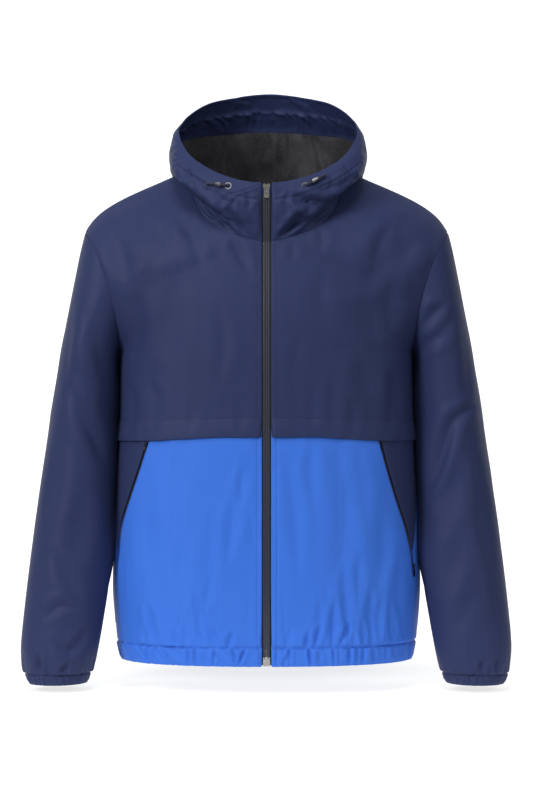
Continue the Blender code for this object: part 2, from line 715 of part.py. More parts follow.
def front_lower(side):
    """The lower front. Its outer strip runs up behind the wedge, parted from it by the slit."""
    sheet = Sheet()
    inner, outer = LOWER_COLUMNS
    fine = HEM_GATHERS // 2 + 1
    rows = []
    for z, lift in LOWER_ROWS:
        points = torso("front", side, z - ARMPIT_Z, across_front(side, fine))
        rows.append(sheet.row(points, gather_lifts(fine, lift)))
    for z in PLAIN_ROWS:
        rows.append(sheet.row(torso("front", side, z - ARMPIT_Z, across_front(side, inner + outer + 1))))
    sheet.strips(rows)
    inner_rows, strip_rows = [rows[-1][:inner + 1]], [rows[-1][inner:]]
    for z in SLIT_ROWS[1:]:
        edge = pocket_across(side, z, -SLIT_HALF)
        row = torso("front", side, z - ARMPIT_Z, np.linspace(0, edge, inner + 1))
        inner_rows.append(sheet.row(row))
        if z < WEDGE_SIDE_Z:
            across = np.linspace(wedge_across(side, z), 1, outer + 1)
            strip_rows.append(sheet.row(torso("front", side, z - ARMPIT_Z, across)))
    tip = sheet.row(torso("front", side, WEDGE_SIDE_Z - ARMPIT_Z, [1.0]))
    sheet.strips(inner_rows)
    sheet.strips(strip_rows)
    last = strip_rows[-1]
    for a, b in zip(last, last[1:]):
        sheet.face(a, b, tip[0])
    if side < 0:
        sheet.mirrored()
    sheet.finish()
    return sheet


def pocket_wedge(side):
    """The navy triangle between the pocket zip and the side seam."""
    sheet = Sheet()
    columns = 3
    apex = pocket_across(side, WEDGE_APEX_Z, SLIT_HALF)
    rows = [sheet.row(torso("front", side, WEDGE_APEX_Z - ARMPIT_Z, [apex]))]
    for z in SLIT_ROWS[2:]:
        near = pocket_across(side, z, SLIT_HALF)
        far = wedge_across(side, z)
        rows.append(sheet.row(torso("front", side, z - ARMPIT_Z, np.linspace(near, far, columns + 1))))
    for a, b in zip(rows[1], rows[1][1:]):
        sheet.face(rows[0][0], b, a)
    sheet.strips(rows[1:])
    if side < 0:
        sheet.mirrored()
    sheet.finish()
    return sheet


def back_lower():
    sheet = Sheet()
    coarse = 13
    fine = HEM_GATHERS // 2 + 1
    heights = [(z, fine, lift) for z, lift in LOWER_ROWS]
    heights += [(z, coarse, 0) for z in PLAIN_ROWS + SLIT_ROWS[1:]]
    for side in (1, -1):
        rows = []
        for z, count, lift in heights:
            across = np.linspace(0, 1, count)[::-side]
            lifts = gather_lifts(count, lift)[::-side]
            rows.append(sheet.row(torso("back", side, z - ARMPIT_Z, across), lifts))
        sheet.strips(rows)
    sheet.finish()
    return sheet


def hem_band():
    """One band from the zip round the back to the zip, gathered on its elastic."""
    sheet = Sheet()
    fine = HEM_GATHERS // 2 + 1
    even = np.linspace(0, 1, fine)
    quarters = (("front", 1, across_front(1, fine)), ("back", 1, even[::-1]), ("back", -1, even),
                ("front", -1, across_front(-1, fine)[::-1]))
    rows = []
    for z, lift in HEM_ROWS:
        row = []
        for face, side, places in quarters:
            points = torso(face, side, z - ARMPIT_Z, places)
            row = row[:-1] + sheet.row(points, gather_lifts(fine, lift))
        rows.append(row)
    sheet.strips(rows)
    sheet.finish()
    return sheet


# ---------------------------------------------------------------- sleeves and cuffs
def sleeve_sheets(side):
    """A sleeve, from the gathered wrist up to the armhole, with its largest folds.

    It is parted at one ring into an upper and a lower length, which share their normals there.
    """
    sheet = Sheet()
    rows = []
    for ring in reversed(range(len(SLEEVE))):
        count = 2 * CUFF_GATHERS if ring in WRIST_GATHERS else ARM_COLUMNS
        turns = np.linspace(0, 360, count + 1)
        lifts = gather_lifts(count + 1, WRIST_GATHERS.get(ring, 0))
        rows.append(sheet.row(sleeve(side, ring, turns), lifts))
    sheet.strips(rows)
    if side < 0:
        sheet.mirrored()
    sheet.finish()
    for face, sign in (("sleeve_front", -1), ("sleeve_back", 1)):
        facing = np.clip(sheet.normals[:, 1] * sign, 0, 1)
        flat = fold_depth(face, side, sheet.points)
        inside = np.ones(len(sheet.points))
        inside[sheet.border] = 0
        sheet.points = sheet.points + sheet.normals * (flat * facing * inside)[:, None]
    parting = max(rows[len(SLEEVE) - 1 - SLEEVE_PARTING])
    return {"upper": sheet.part([face for face in sheet.faces if max(face) > parting]),
            "lower": sheet.part([face for face in sheet.faces if max(face) <= parting])}


def cuff_sheet(side):
    sheet = Sheet()
    count = 2 * CUFF_GATHERS
    turns = np.linspace(0, 360, count + 1)
    rows = []
    for ring, lift in CUFF_ROWS:
        rows.append(sheet.row(cuff(side, ring, turns), gather_lifts(count + 1, lift)))
    sheet.strips(rows)
    if side < 0:
        sheet.mirrored()
    sheet.finish()
    return sheet


# ---------------------------------------------------------------- hood
def hood_angles():
    """The hood's columns on one side, the same as the torso rows that meet the neck."""
    front = [neck_angle("front", n / ROWS) for n in range(NECK_ROW_FRONT, ROWS + 1)]
    back = [neck_angle("back", n / ROWS) for n in range(ROWS - 1, NECK_ROW_BACK - 1, -1)]
    return front, back


def hood_panel(angles, knots, wall=CLOTH):
    """A hood piece over signed angles. Knots is a list of rows, or a function of the angle."""
    columns = []
    for angle in angles:
        places = knots(angle) if callable(knots) else knots
        columns.append(hood(angle, places))
    sheet = Sheet(wall)
    rows = [sheet.row([column[n] for column in columns]) for n in range(len(columns[0]))]
    sheet.strips(rows)
    sheet.finish()
    return sheet


def facing_knot(angle):
    """The knot where the facing ends, its width in from the face edge."""
    knots = np.linspace(HOOD_KNOTS, 1, 121)
    points = hood(angle, knots)
    run = np.concatenate([[0], np.cumsum(np.linalg.norm(np.diff(points, axis=0), axis=1))])
    return float(np.interp(FACING_WIDTH, run, knots))


def facing_rows(angle):
    """Knots of the facing's rows, from its inner seam to the face edge."""
    return np.linspace(facing_knot(angle), HOOD_KNOTS - 0.03, 5)


def lining_rows(angle):
    """Knots of the lining's rows: the hood's own where they fit, and the last at the facing."""
    step = HOOD_KNOTS / HOOD_ROWS
    end = facing_knot(angle)
    if end < (LINING_ROWS + 0.5) * step:
        return np.linspace(step, end, LINING_ROWS + 1)
    return np.append(step * np.arange(1, LINING_ROWS + 1), end)


# ---------------------------------------------------------------- zips
def middle_point(z):
    """The front middle line from the hem to the face edge, and its outward direction."""
    def at(height):
        if height < ARMPIT_Z:
            y = smooth([row[0] for row in TORSO], [[row[2]] for row in TORSO], height)[0, 0]
        elif height < FRONT_MIDDLE[-1][0]:
            y = smooth([row[0] for row in FRONT_MIDDLE], [[row[1]] for row in FRONT_MIDDLE], height)[0, 0]
        else:
            profile = np.array(HOOD[0][1])
            y = -float(np.interp(height, profile[:, 1], profile[:, 0]))
        return np.array((0.0, y, height))
    step = 0.004
    up = unit(at(z + step) - at(z - step))
    return at(z), np.cross(up, (-1.0, 0.0, 0.0))


def zip_tape(side):
    """A tape with its teeth, from the retainer box to the slider."""
    neck_z = FRONT_MIDDLE[-1][0]
    heights = [BOX_TOP_Z + 0.0006] + [z for z, _ in LOWER_ROWS] + list(PLAIN_ROWS) + list(SLIT_ROWS[1:])
    heights += [ARMPIT_Z + height for height in upper_heights()[1:4]]
    heights += list(np.linspace(ARMPIT_Z, neck_z, NECK_ROW_FRONT + 1))
    heights += [z for _, z in HOOD[0][1][1:5]] + [SLIDER_TOP_Z - SLIDER["length"] - SEAM_GAP]
    path, outs = zip(*[middle_point(z) for z in heights])
    sides = [np.array((float(side), 0, 0))] * len(path)
    under = -CLOTH - ZIP_DEPTH
    profile = ((TEETH_GAP, -TEETH_GAP), (TEETH_HALF, -TEETH_GAP), (TEETH_HALF, under),
               (TAPE_HALF, under), (TAPE_HALF, under - TAPE), (TEETH_GAP, under - TAPE))
    return sweep(f"zip_tape_{SIDES[side]}", path, sides, outs, profile, "tape_navy")


def prism(shape, outline, low, high):
    """Extrude an outline of (x, z) points between two y values, into a bmesh."""
    front = [shape.verts.new((x, low, z)) for x, z in outline]
    back = [shape.verts.new((x, high, z)) for x, z in outline]
    count = len(outline)
    shape.faces.new(front)
    shape.faces.new(back[::-1])
    for n in range(count):
        m = (n + 1) % count
        shape.faces.new((front[n], back[n], back[m], front[m]))


def arch(shape, half, low, high, foot, rise, bar):
    """A bridge over the slider: a strip that leaves its face, runs along it and comes back."""
    outline = ((low, -foot), (low, -rise), (low + bar, -rise - bar), (high - bar, -rise - bar),
               (high, -rise), (high, -foot), (high - bar, -foot), (high - bar, -rise),
               (low + bar, -rise), (low + bar, -foot))
    left = [shape.verts.new((-half, y, z)) for z, y in outline]
    right = [shape.verts.new((half, y, z)) for z, y in outline]
    count = len(outline)
    for n in range(count):
        m = (n + 1) % count
        shape.faces.new((left[n], right[n], right[m], left[m]))
    for part in ((0, 1, 8, 9), (1, 2, 3, 4, 7, 8), (4, 5, 6, 7)):
        shape.faces.new([left[n] for n in part])
        shape.faces.new([right[n] for n in part[::-1]])


def boolean(target, other, operation):
    """Join another object to this one, or cut it out of it, and leave the other out."""
    modifier = target.modifiers.new(operation.lower(), "BOOLEAN")
    modifier.operation = operation
    modifier.solver = "EXACT"
    modifier.object = other
    other.hide_render = True
    other.display_type = "WIRE"


def slider(name, frame, size, finish):
    """A slider in its frame: local -Y is outward, its top at local z 0."""
    half, length, thick = size["width"] / 2, size["length"], size["thick"]
    outline = ((-half * 0.62, -length), (half * 0.62, -length), (half * 0.74, -length * 0.45),
               (half, -length * 0.2), (half * 0.85, 0), (half * 0.25, 0), (0, -length * 0.12),
               (-half * 0.25, 0), (-half * 0.85, 0), (-half, -length * 0.2),
               (-half * 0.74, -length * 0.45))
    body = bmesh_object(name, lambda shape: prism(shape, outline, -thick, 0), finish, frame)

    def bridge(shape):
        arch(shape, half * 0.22, -length * 0.80, -length * 0.18, thick - BRIDGE["root"],
             thick + BRIDGE["rise"], BRIDGE["bar"])

    boolean(body, bmesh_object(name + "_bridge", bridge, finish, frame), "UNION")


def pull_tab(name, frame, size, finish):
    """A flat tab with a window, hanging from its top bar. Its origin is on its hinge axis."""
    half, open_half, bar = size["width"] / 2, size["window"] / 2, size["bar"]
    top = bar * 0.55
    low = top - size["length"]
    lintel = top - bar
    sill = lintel - size["open"]
    shoulder = low + half * 0.4
    outline = ((-half * 0.8, low), (half * 0.8, low), (half, shoulder), (half, top), (-half, top),
               (-half, shoulder))
    tab = bmesh_object(name, lambda shape: prism(shape, outline, -bar / 2, bar / 2), finish, frame)
    hole = ((-open_half, sill), (open_half, sill), (open_half, lintel), (-open_half, lintel))
    window = bmesh_object(name + "_window", lambda shape: prism(shape, hole, -bar, bar), finish, frame)
    boolean(tab, window, "DIFFERENCE")


def front_zip():
    for side in SIDES:
        zip_tape(side)
    x = np.array((1.0, 0.0, 0.0))
    point, out = middle_point(SLIDER_TOP_Z - SLIDER["length"] / 2)
    up = np.cross(x, -out)
    top = point + up * SLIDER["length"] / 2 - out * SLIDER["sink"]
    slider("zip_slider", axes_frame(top, x, -out, up), SLIDER, "nickel")
    axis_point = top + up * (PULL_AXIS_Z - SLIDER_TOP_Z) + out * (SLIDER["thick"] + PULL_LIFT)
    pull_tab("zip_pull", axes_frame(axis_point, x, -out, up), PULL, "nickel")
    base, out = middle_point((BOX_TOP_Z + HEM_Z) / 2)
    box = ((-0.0048, -0.0050), (0.0048, -0.0050), (0.0048, 0.0042), (0.0030, 0.0052), (-0.0030, 0.0052),
           (-0.0048, 0.0042))
    bmesh_object("zip_box", lambda shape: prism(shape, box, *BOX_DEPTH), "nickel",
                 axes_frame(base, x, -out, np.cross(x, -out)))


def pocket_frame(side, z):
    """A point of the pocket slit with its outward, along-the-slit and sideways directions."""
    def at(height, offset=0.0):
        return torso("front", side, height - ARMPIT_Z, [pocket_across(side, height, offset)])[0]
    here = at(z)
    along = unit(at(min(z + 0.004, LOWER_TOP_Z)) - at(max(z - 0.004, SLIT_END_Z)))
    sideways = unit(at(z, 0.002) - at(z, -0.002)) * side
    sideways = unit(sideways - along * (sideways @ along))
    out = np.cross(sideways, along)
    return here, out, along, sideways


def pocket_zip(side):
    """The tape behind a pocket slit, with its closed coil raised in the middle."""
    path, outs, sides = [], [], []
    for z in SLIT_ROWS:
        here, out, along, sideways = pocket_frame(side, z)
        path.append(here)
        outs.append(out)
        sides.append(sideways)
    top = -CLOTH - POCKET_DEPTH
    crest = top + COIL_RISE
    profile = ((-POCKET_TAPE_HALF, top - TAPE), (POCKET_TAPE_HALF, top - TAPE), (POCKET_TAPE_HALF, top),
               (COIL_HALF, top), (COIL_HALF, crest), (-COIL_HALF, crest), (-COIL_HALF, top),
               (-POCKET_TAPE_HALF, top))
    sweep(f"pocket_zip_{SIDES[side]}", path, sides, outs, profile, "tape_navy")
    here, out, along, sideways = pocket_frame(side, POCKET_SLIDER_Z[side])
    back = crest + SEAM_GAP
    frame = axes_frame(here + out * back, sideways, -out, along)
    slider(f"pocket_slider_{SIDES[side]}", frame, POCKET_SLIDER, "gunmetal")
    axis_point = here + out * (back + POCKET_SLIDER["thick"] + PULL_LIFT) - along * POCKET_AXIS_DROP
    frame = axes_frame(axis_point, sideways, -out, along)
    pull_tab(f"pocket_pull_{SIDES[side]}", frame, POCKET_PULL[side], "gunmetal")


# ---------------------------------------------------------------- drawcord
def hood_frame(angle, knot):
    """A point of the hood with its outward, upward and sideways directions."""
    here = hood(angle, knot)[0]
    up = unit(hood(angle, knot + 0.1)[0] - hood(angle, knot - 0.1)[0])
    around = unit(hood(angle + 1, knot)[0] - hood(angle - 1, knot)[0]) * (1 if angle > 0 else -1)
    out = unit(np.cross(around, up)) * (1 if angle > 0 else -1)
    return here, out, up, around


def turned(profile, sides, closed=False):
    """A function that turns (radius, height) points about local z in a bmesh.

    The profile's ends are capped, or joined to each other to make a ring.
    """
    def build(shape):
        rings = []
        for radius, height in profile:
            turns = [2 * pi * n / sides for n in range(sides)]
            rings.append([shape.verts.new((radius * cos(t), radius * sin(t), height)) for t in turns])
        pairs = list(zip(rings, rings[1:]))
        if closed:
            pairs.append((rings[-1], rings[0]))
        else:
            shape.faces.new(rings[0][::-1])
            shape.faces.new(rings[-1])
        for low, high in pairs:
            for n in range(sides):
                m = (n + 1) % sides
                shape.faces.new((low[n], low[m], high[m], high[n]))
    return build


def tube(name, points, diameter, finish):
    """A cord: a round tube along a smooth line."""
    curve = bpy.data.curves.new(name, "CURVE")
    curve.dimensions = "3D"
    curve.bevel_depth = diameter / 2
    curve.bevel_resolution = 2
    curve.use_fill_caps = True
    spline = curve.splines.new("POLY")
    spline.points.add(len(points) - 1)
    for target, point in zip(spline.points, points):
        target.co = (*point, 1)
    curve.materials.append(material(finish))
    made = bpy.data.objects.new(name, curve)
    bpy.context.scene.collection.objects.link(made)
    return made


def drawcord(side, lead, lock_length, tail, slope):
    """Eyelet, a short cord, the lock on it and the tail beyond."""
    angle = side * EYELET_ANGLE
    here, out, up, around = hood_frame(angle, EYELET_KNOT)
    sideways = np.cross(up, out)
    outer, inner, thick = EYELET["outer"], EYELET["inner"], EYELET["thick"]
    rim = ((inner, 0), (outer, 0), (outer - 0.0004, thick), (inner + 0.0003, thick))
    bmesh_object(f"eyelet_{SIDES[side]}", turned(rim, 16, closed=True), "nickel",
                 axes_frame(here + out * EYELET["standoff"], sideways, unit(np.cross(out, sideways)), out))

    def on_hood(distance):
        """A point that lies on the hood, a distance along the cord's way from the eyelet."""
        turn = angle + side * np.degrees(distance / HOOD_RADIUS)
        knot = EYELET_KNOT + slope * distance / KNOT_RUN
        point, outward, _, _ = hood_frame(turn, knot)
        return point, outward

    way = []
    stations = np.linspace(0, len(CORD_RISE) - 1, CORD_POINTS)
    for distance, rise in smooth(range(len(CORD_RISE)), CORD_RISE, stations):
        point, outward = on_hood(distance * lead / CORD_RISE[-1][0])
        way.append(point + outward * rise)
    tube(f"cord_{SIDES[side]}", way, CORD_DIAMETER, "braid")

    lock_start, lock_out = on_hood(lead)
    lock_end, _ = on_hood(lead + lock_length)
    run = unit(lock_end - lock_start)
    lift = unit(lock_out - run * (lock_out @ run))
    base = way[-1] + run * CORD_GAP
    barrel = ((0.72, 0), (1, 0.09), (1, 0.62), (0.8, 0.66), (0.8, 0.9), (0.6, 1))
    barrel = [(LOCK_RADIUS * radius, lock_length * height) for radius, height in barrel]
    bmesh_object(f"cord_lock_{SIDES[side]}", turned(barrel, 12), "gunmetal",
                 axes_frame(base, lift, np.cross(run, lift), run))

    tail_start = base + run * (lock_length + CORD_GAP)
    steps = np.linspace(0, 1, 5)
    bend = [tail_start + run * tail * n - lift * TAIL_DROOP * n ** 2 for n in steps]
    tube(f"cord_tail_{SIDES[side]}", bend, CORD_DIAMETER, "braid")


# ---------------------------------------------------------------- build
def clear_scene():
    for old in list(bpy.data.objects):
        bpy.data.objects.remove(old, do_unlink=True)


def shell_cloth():
    """The sheets of every outer piece, with shared normals at their seams."""
    front, back = hood_angles()
    side_angles = front + [a for a in back if a <= HOOD_SEAM_ANGLE]
    rise = np.linspace(0, HOOD_KNOTS, HOOD_ROWS + 1)
    cloth = {}
    for side, word in SIDES.items():
        cloth[f"front_upper_{word}"] = (front_upper(side), "navy")
        cloth[f"front_lower_{word}"] = (front_lower(side), "blue")
        cloth[f"pocket_wedge_{word}"] = (pocket_wedge(side), "navy")
        for length, sheet in sleeve_sheets(side).items():
            cloth[f"sleeve_{word}_{length}"] = (sheet, "navy")
        cloth[f"cuff_{word}"] = (cuff_sheet(side), "navy")
        ordered = side_angles if side > 0 else [-a for a in side_angles][::-1]
        cloth[f"hood_side_{word}"] = (hood_panel(ordered, rise), "navy")
    cloth["back_upper"] = (back_upper(), "navy")
    cloth["back_lower"] = (back_lower(), "blue")
    cloth["hem_band"] = (hem_band(), "blue")
    cloth["hood_centre"] = (hood_panel(HOOD_CENTRE_ANGLES, rise), "navy")
    share_normals([sheet for sheet, _ in cloth.values()])
    for name in ("front_upper_left", "front_upper_right", "back_upper"):
        flare(cloth[name][0])
    return cloth


def hood_inside():
    """The facing behind the face edge and the lining below it, sunk inside the hood."""
    front, back = hood_angles()
    inside = [FACING_ANGLE] + [a for a in front + back if a > FACING_ANGLE + 2]
    inside += [-a for a in inside[::-1] if a < 180]
    facing = hood_panel(inside, facing_rows, LINING)
    lining = hood_panel(inside, lining_rows, LINING)
    share_normals([facing, lining], valleys=False)
    for sheet in (facing, lining):
        sheet.points = sheet.points - sheet.normals * ((CLOTH + LINING_DEPTH) * sheet.stretch)[:, None]
    return {"hood_facing": (facing, "navy"), "hood_lining": (lining, "grey")}


def build():
    clear_scene()
    for name, (sheet, finish) in {**shell_cloth(), **hood_inside()}.items():
        sheet.pull_back(SEAM_GAP / 2 if sheet.wall == CLOTH else SEAM_GAP * 1.5)
        wall_object(name, sheet, finish)
    front_zip()
    for side in SIDES:
        pocket_zip(side)
    for row in CORD:
        drawcord(*row)


build()
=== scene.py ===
# %% [markdown]
# # Windbreaker jacket
#
# A hooded windbreaker of thin nylon, filled out as if it were worn. The solids of the
# jacket are already made, and they come in here as a fixed frame. This script gives every
# cloth piece a fine shell with its creases, gathers, turned edges and stitching, and gives
# the zips, the cord and the metal parts their finish.

# %% Load the frame
import bpy
import bmesh
import numpy as np
from math import cos, pi, radians, sin
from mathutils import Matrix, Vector


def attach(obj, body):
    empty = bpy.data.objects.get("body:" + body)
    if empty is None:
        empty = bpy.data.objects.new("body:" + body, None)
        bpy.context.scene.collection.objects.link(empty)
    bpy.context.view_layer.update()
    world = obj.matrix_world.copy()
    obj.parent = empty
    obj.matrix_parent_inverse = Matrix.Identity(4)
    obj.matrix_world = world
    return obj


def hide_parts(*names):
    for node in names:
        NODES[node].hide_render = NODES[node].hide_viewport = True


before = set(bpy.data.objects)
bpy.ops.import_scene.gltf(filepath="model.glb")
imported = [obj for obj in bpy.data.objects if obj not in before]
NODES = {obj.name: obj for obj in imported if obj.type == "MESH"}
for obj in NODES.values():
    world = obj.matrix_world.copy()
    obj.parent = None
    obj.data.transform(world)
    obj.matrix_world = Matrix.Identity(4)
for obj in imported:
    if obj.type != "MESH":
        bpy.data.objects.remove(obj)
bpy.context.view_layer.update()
MM = 0.001
STEP = 0.00205         # spacing of the cloth's points


def link(name, data):
    """Make an object and put it in the scene."""
    made = bpy.data.objects.new(name, data)
    bpy.context.scene.collection.objects.link(made)
    return made


# %% [markdown]
# The camera stands straight in front of the chest at a portrait distance, so the sleeves
# and the hood keep their true proportions. A lens is worked out from how tall the view is
# at the jacket, which is easier to think about than a focal length.

# %% Camera
VIEW_DISTANCE = 3.2
VIEW_HEIGHT = 1.128
VIEW_Z = -0.33
SENSOR = 36.0

camera_data = bpy.data.cameras.new("camera")
camera_data.sensor_fit = "VERTICAL"
camera_data.sensor_height = SENSOR
camera_data.lens = SENSOR * VIEW_DISTANCE / VIEW_HEIGHT
camera = link("camera", camera_data)
camera.location = (0, -VIEW_DISTANCE, VIEW_Z)
camera.rotation_euler = (pi / 2, 0, 0)
bpy.context.scene.camera = camera
print("lens:", round(camera_data.lens, 1), "mm")

# %% [markdown]
# Every shape below starts from a few short tables of sections and a smooth curve through
# them. These are the same tables that the solids were worked out from, so the fine cloth
# falls exactly on the solids. The forms could be sculpted by hand instead, but a table can
# be measured, and a number in it changes both the solid and the cloth.

# %% Curves
def smooth(knots, values, at, level_ends=False):
    """A cubic curve through the rows of a table, read at one or many places."""
    knots = np.asarray(knots, float)
    values = np.asarray(values, float)
    steps = np.diff(knots)[:, None]
    chords = np.diff(values, axis=0) / steps
    slopes = np.zeros_like(values)
    weighted = chords[:-1] * steps[1:] + chords[1:] * steps[:-1]
    slopes[1:-1] = weighted / (steps[:-1] + steps[1:])
    if not level_ends:
        slopes[0], slopes[-1] = chords[0], chords[-1]
    at = np.clip(np.atleast_1d(np.asarray(at, float)), knots[0], knots[-1])
    i = np.clip(np.searchsorted(knots, at, side="right") - 1, 0, len(steps) - 1)
    h = steps[i]
    w = (at[:, None] - knots[i][:, None]) / h
    start = (1 + 2 * w) * (1 - w) ** 2 * values[i] + w * (1 - w) ** 2 * h * slopes[i]
    end = w ** 2 * (3 - 2 * w) * values[i + 1] + w ** 2 * (w - 1) * h * slopes[i + 1]
    return start + end


def ease(x):
    """0 to 1 with level ends."""
    x = np.clip(x, 0, 1)
    return x * x * (3 - 2 * x)


def unit(v):
    """Vectors of length 1."""
    v = np.asarray(v, float)
    return v / np.maximum(np.linalg.norm(v, axis=-1, keepdims=True), 1e-12)


def bell(distance, width):
    """1 at distance 0, falling smoothly to almost nothing two widths away."""
    return np.exp(-(distance / width) ** 2)


def run_along(path):
    """How far along a path each of its points lies."""
    return np.concatenate([[0], np.cumsum(np.linalg.norm(np.diff(path, axis=0), axis=1))])


def read_at(places, run, values):
    """The rows that belong to places along a run, by straight lines between the known ones."""
    return np.stack([np.interp(places, run, values[:, k]) for k in range(3)], axis=-1)


# %% Sizes of the torso
ARMPIT_Z = -0.262
YOKE_Z = -0.380
YOKE_FLARE = 0.0030
FLARE_RUN = 0.035
LOWER_TOP_Z = -0.372
HEM_SEAM_Z = -0.667
HEM_Z = -0.692
SIDE_Y = 0.005
UPPER_SPAN = 0.26
ZIP_OPENING = 0.0070
FULLNESS = 0.62
NECK_SHARE = {"front": 5 / 12, "back": 6 / 12}
SIDES = {1: "left", -1: "right"}        # the wearer's

TORSO = (
    # z      half     front    back
    (-0.692, 0.2045, -0.116, 0.106),
    (-0.667, 0.2085, -0.119, 0.109),
    (-0.600, 0.2157, -0.130, 0.117),
    (-0.500, 0.2130, -0.131, 0.118),
    (-0.377, 0.2075, -0.126, 0.114),
    (-0.300, 0.2060, -0.123, 0.110),
    (-0.262, 0.2059, -0.121, 0.108),
)
FRONT_ROWS = (
    # share   inner steering point       outer steering point
    (0.250, (0.085, -0.116, -0.185), (0.175, -0.094, -0.220)),
    (0.417, (0.075, -0.102, -0.135), (0.160, -0.097, -0.175)),
    (0.600, (0.100, -0.094, -0.122), (0.168, -0.090, -0.145)),
    (0.750, (0.122, -0.0735, -0.092), (0.188, -0.071, -0.112)),
    (0.900, (0.140, -0.036, -0.054), (0.213, -0.036, -0.072)),
    (1.000, (0.150, 0.002, -0.028), (0.232, 0.004, -0.046)),
)
BACK_ROWS = (
    (0.250, (0.085, 0.110, -0.155), (0.172, 0.098, -0.200)),
    (0.500, (0.075, 0.094, -0.045), (0.150, 0.098, -0.120)),
    (0.750, (0.110, 0.072, -0.035), (0.180, 0.075, -0.085)),
    (0.900, (0.135, 0.036, -0.027), (0.213, 0.038, -0.060)),
    (1.000, (0.150, 0.002, -0.028), (0.232, 0.004, -0.046)),
)
MIDDLES = {
    "front": ((-0.262, -0.121), (-0.220, -0.1165), (-0.170, -0.107), (-0.113, -0.092)),
    "back": ((-0.262, 0.108), (-0.180, 0.107), (-0.100, 0.098), (-0.018, 0.078)),
}

# %% Sizes of the sleeves, cuffs and hood
SLEEVE = (
    # in x    in z    out x   out z    y      depth    bow
    (0.2059, -0.262, 0.2535, -0.095, 0.005, 0.0650, 0.0115),
    (0.2085, -0.268, 0.2622, -0.124, 0.006, 0.0680, 0.0080),
    (0.2090, -0.276, 0.2714, -0.165, 0.007, 0.0700, 0.0040),
    (0.2088, -0.288, 0.2790, -0.203, 0.008, 0.0710, 0.0010),
    (0.2086, -0.305, 0.2870, -0.245, 0.009, 0.0715, 0.0),
    (0.2090, -0.330, 0.2948, -0.290, 0.009, 0.0710, 0.0),
    (0.2116, -0.365, 0.3028, -0.337, 0.007, 0.0700, 0.0),
    (0.2106, -0.410, 0.3095, -0.387, 0.003, 0.0680, 0.0),
    (0.2124, -0.455, 0.3165, -0.437, -0.003, 0.0660, 0.0),
    (0.2144, -0.505, 0.3232, -0.490, -0.012, 0.0630, 0.0),
    (0.2162, -0.550, 0.3288, -0.540, -0.022, 0.0600, 0.0),
    (0.2212, -0.595, 0.3341, -0.590, -0.031, 0.0575, 0.0),
    (0.2275, -0.635, 0.3383, -0.635, -0.038, 0.0550, 0.0),
    (0.2335, -0.670, 0.3402, -0.671, -0.043, 0.0530, 0.0),
    (0.2385, -0.693, 0.3383, -0.695, -0.046, 0.0500, 0.0),
    (0.2455, -0.711, 0.3340, -0.712, -0.048, 0.0440, 0.0),
)
CUFF = (
    # in x    in z    out x   out z    y      depth    bow
    (0.2455, -0.711, 0.3340, -0.712, -0.048, 0.0440, 0.0),
    (0.2480, -0.719, 0.3310, -0.720, -0.048, 0.0425, 0.0),
    (0.2500, -0.727, 0.3285, -0.728, -0.048, 0.0405, 0.0),
)
HOOD = (
    # angle, then eight knots of distance from the upright axis and height
    (0, ((0.092, -0.113), (0.0935, -0.102), (0.0955, -0.090), (0.0970, -0.079),
         (0.0980, -0.067), (0.0985, -0.055), (0.0985, -0.044), (0.098, -0.0335))),
    (25, ((0.097, -0.104), (0.0970, -0.095), (0.0975, -0.086), (0.1040, -0.078),
          (0.1085, -0.066), (0.1085, -0.052), (0.1060, -0.038), (0.102, -0.0275))),
    (45, ((0.1053, -0.088), (0.1025, -0.079), (0.1025, -0.069), (0.1130, -0.060),
          (0.1205, -0.047), (0.1210, -0.034), (0.1175, -0.021), (0.1106, -0.0127))),
    (65, ((0.1085, -0.055), (0.1075, -0.047), (0.1120, -0.038), (0.1250, -0.035),
          (0.1350, -0.023), (0.1360, -0.010), (0.1300, 0.003), (0.1205, 0.011))),
    (90, ((0.099, 0.000), (0.1080, 0.003), (0.1220, -0.005), (0.1340, -0.011),
          (0.1378, 0.000), (0.1368, 0.020), (0.1330, 0.040), (0.1275, 0.054))),
    (120, ((0.096, -0.006), (0.1060, -0.004), (0.1250, -0.020), (0.1420, -0.028),
           (0.1520, -0.006), (0.1490, 0.030), (0.1350, 0.060), (0.1125, 0.0925))),
    (150, ((0.083, -0.014), (0.1000, -0.022), (0.1210, -0.062), (0.1420, -0.080),
           (0.1620, -0.052), (0.1590, 0.000), (0.1290, 0.056), (0.097, 0.1068))),
    (180, ((0.078, -0.018), (0.0980, -0.036), (0.1170, -0.085), (0.1380, -0.112),
           (0.1600, -0.082), (0.1580, -0.012), (0.1230, 0.057), (0.092, 0.1127))),
)
HOOD_KNOTS = 7
HOOD_LEAN = 0.0050                      # its back and face edge lean to the wearer's left
HOOD_SEAM_ANGLE = 150
FACING_WIDTH = 0.058
FACING_ANGLE = 8.5
INSIDE_DEPTH = 0.0026                   # how far the facing and lining lie inside the hood


# %% The three surfaces that the pieces are cut from
def hood(angle, knots):
    """Points of the hood at one signed angle, at the given knots 0 to 7."""
    table = [np.ravel(row) for _, row in HOOD]
    profile = smooth([row[0] for row in HOOD], table, abs(angle), level_ends=True).reshape(-1, 2)
    profile = smooth(range(HOOD_KNOTS + 1), profile, knots)
    away, height = profile[:, 0], profile[:, 1]
    turn = radians(angle)
    lean = HOOD_LEAN * (1 - cos(turn)) / 2 * np.asarray(knots, float) / HOOD_KNOTS
    return np.stack([away * sin(turn) + lean, -away * cos(turn), height], axis=1)


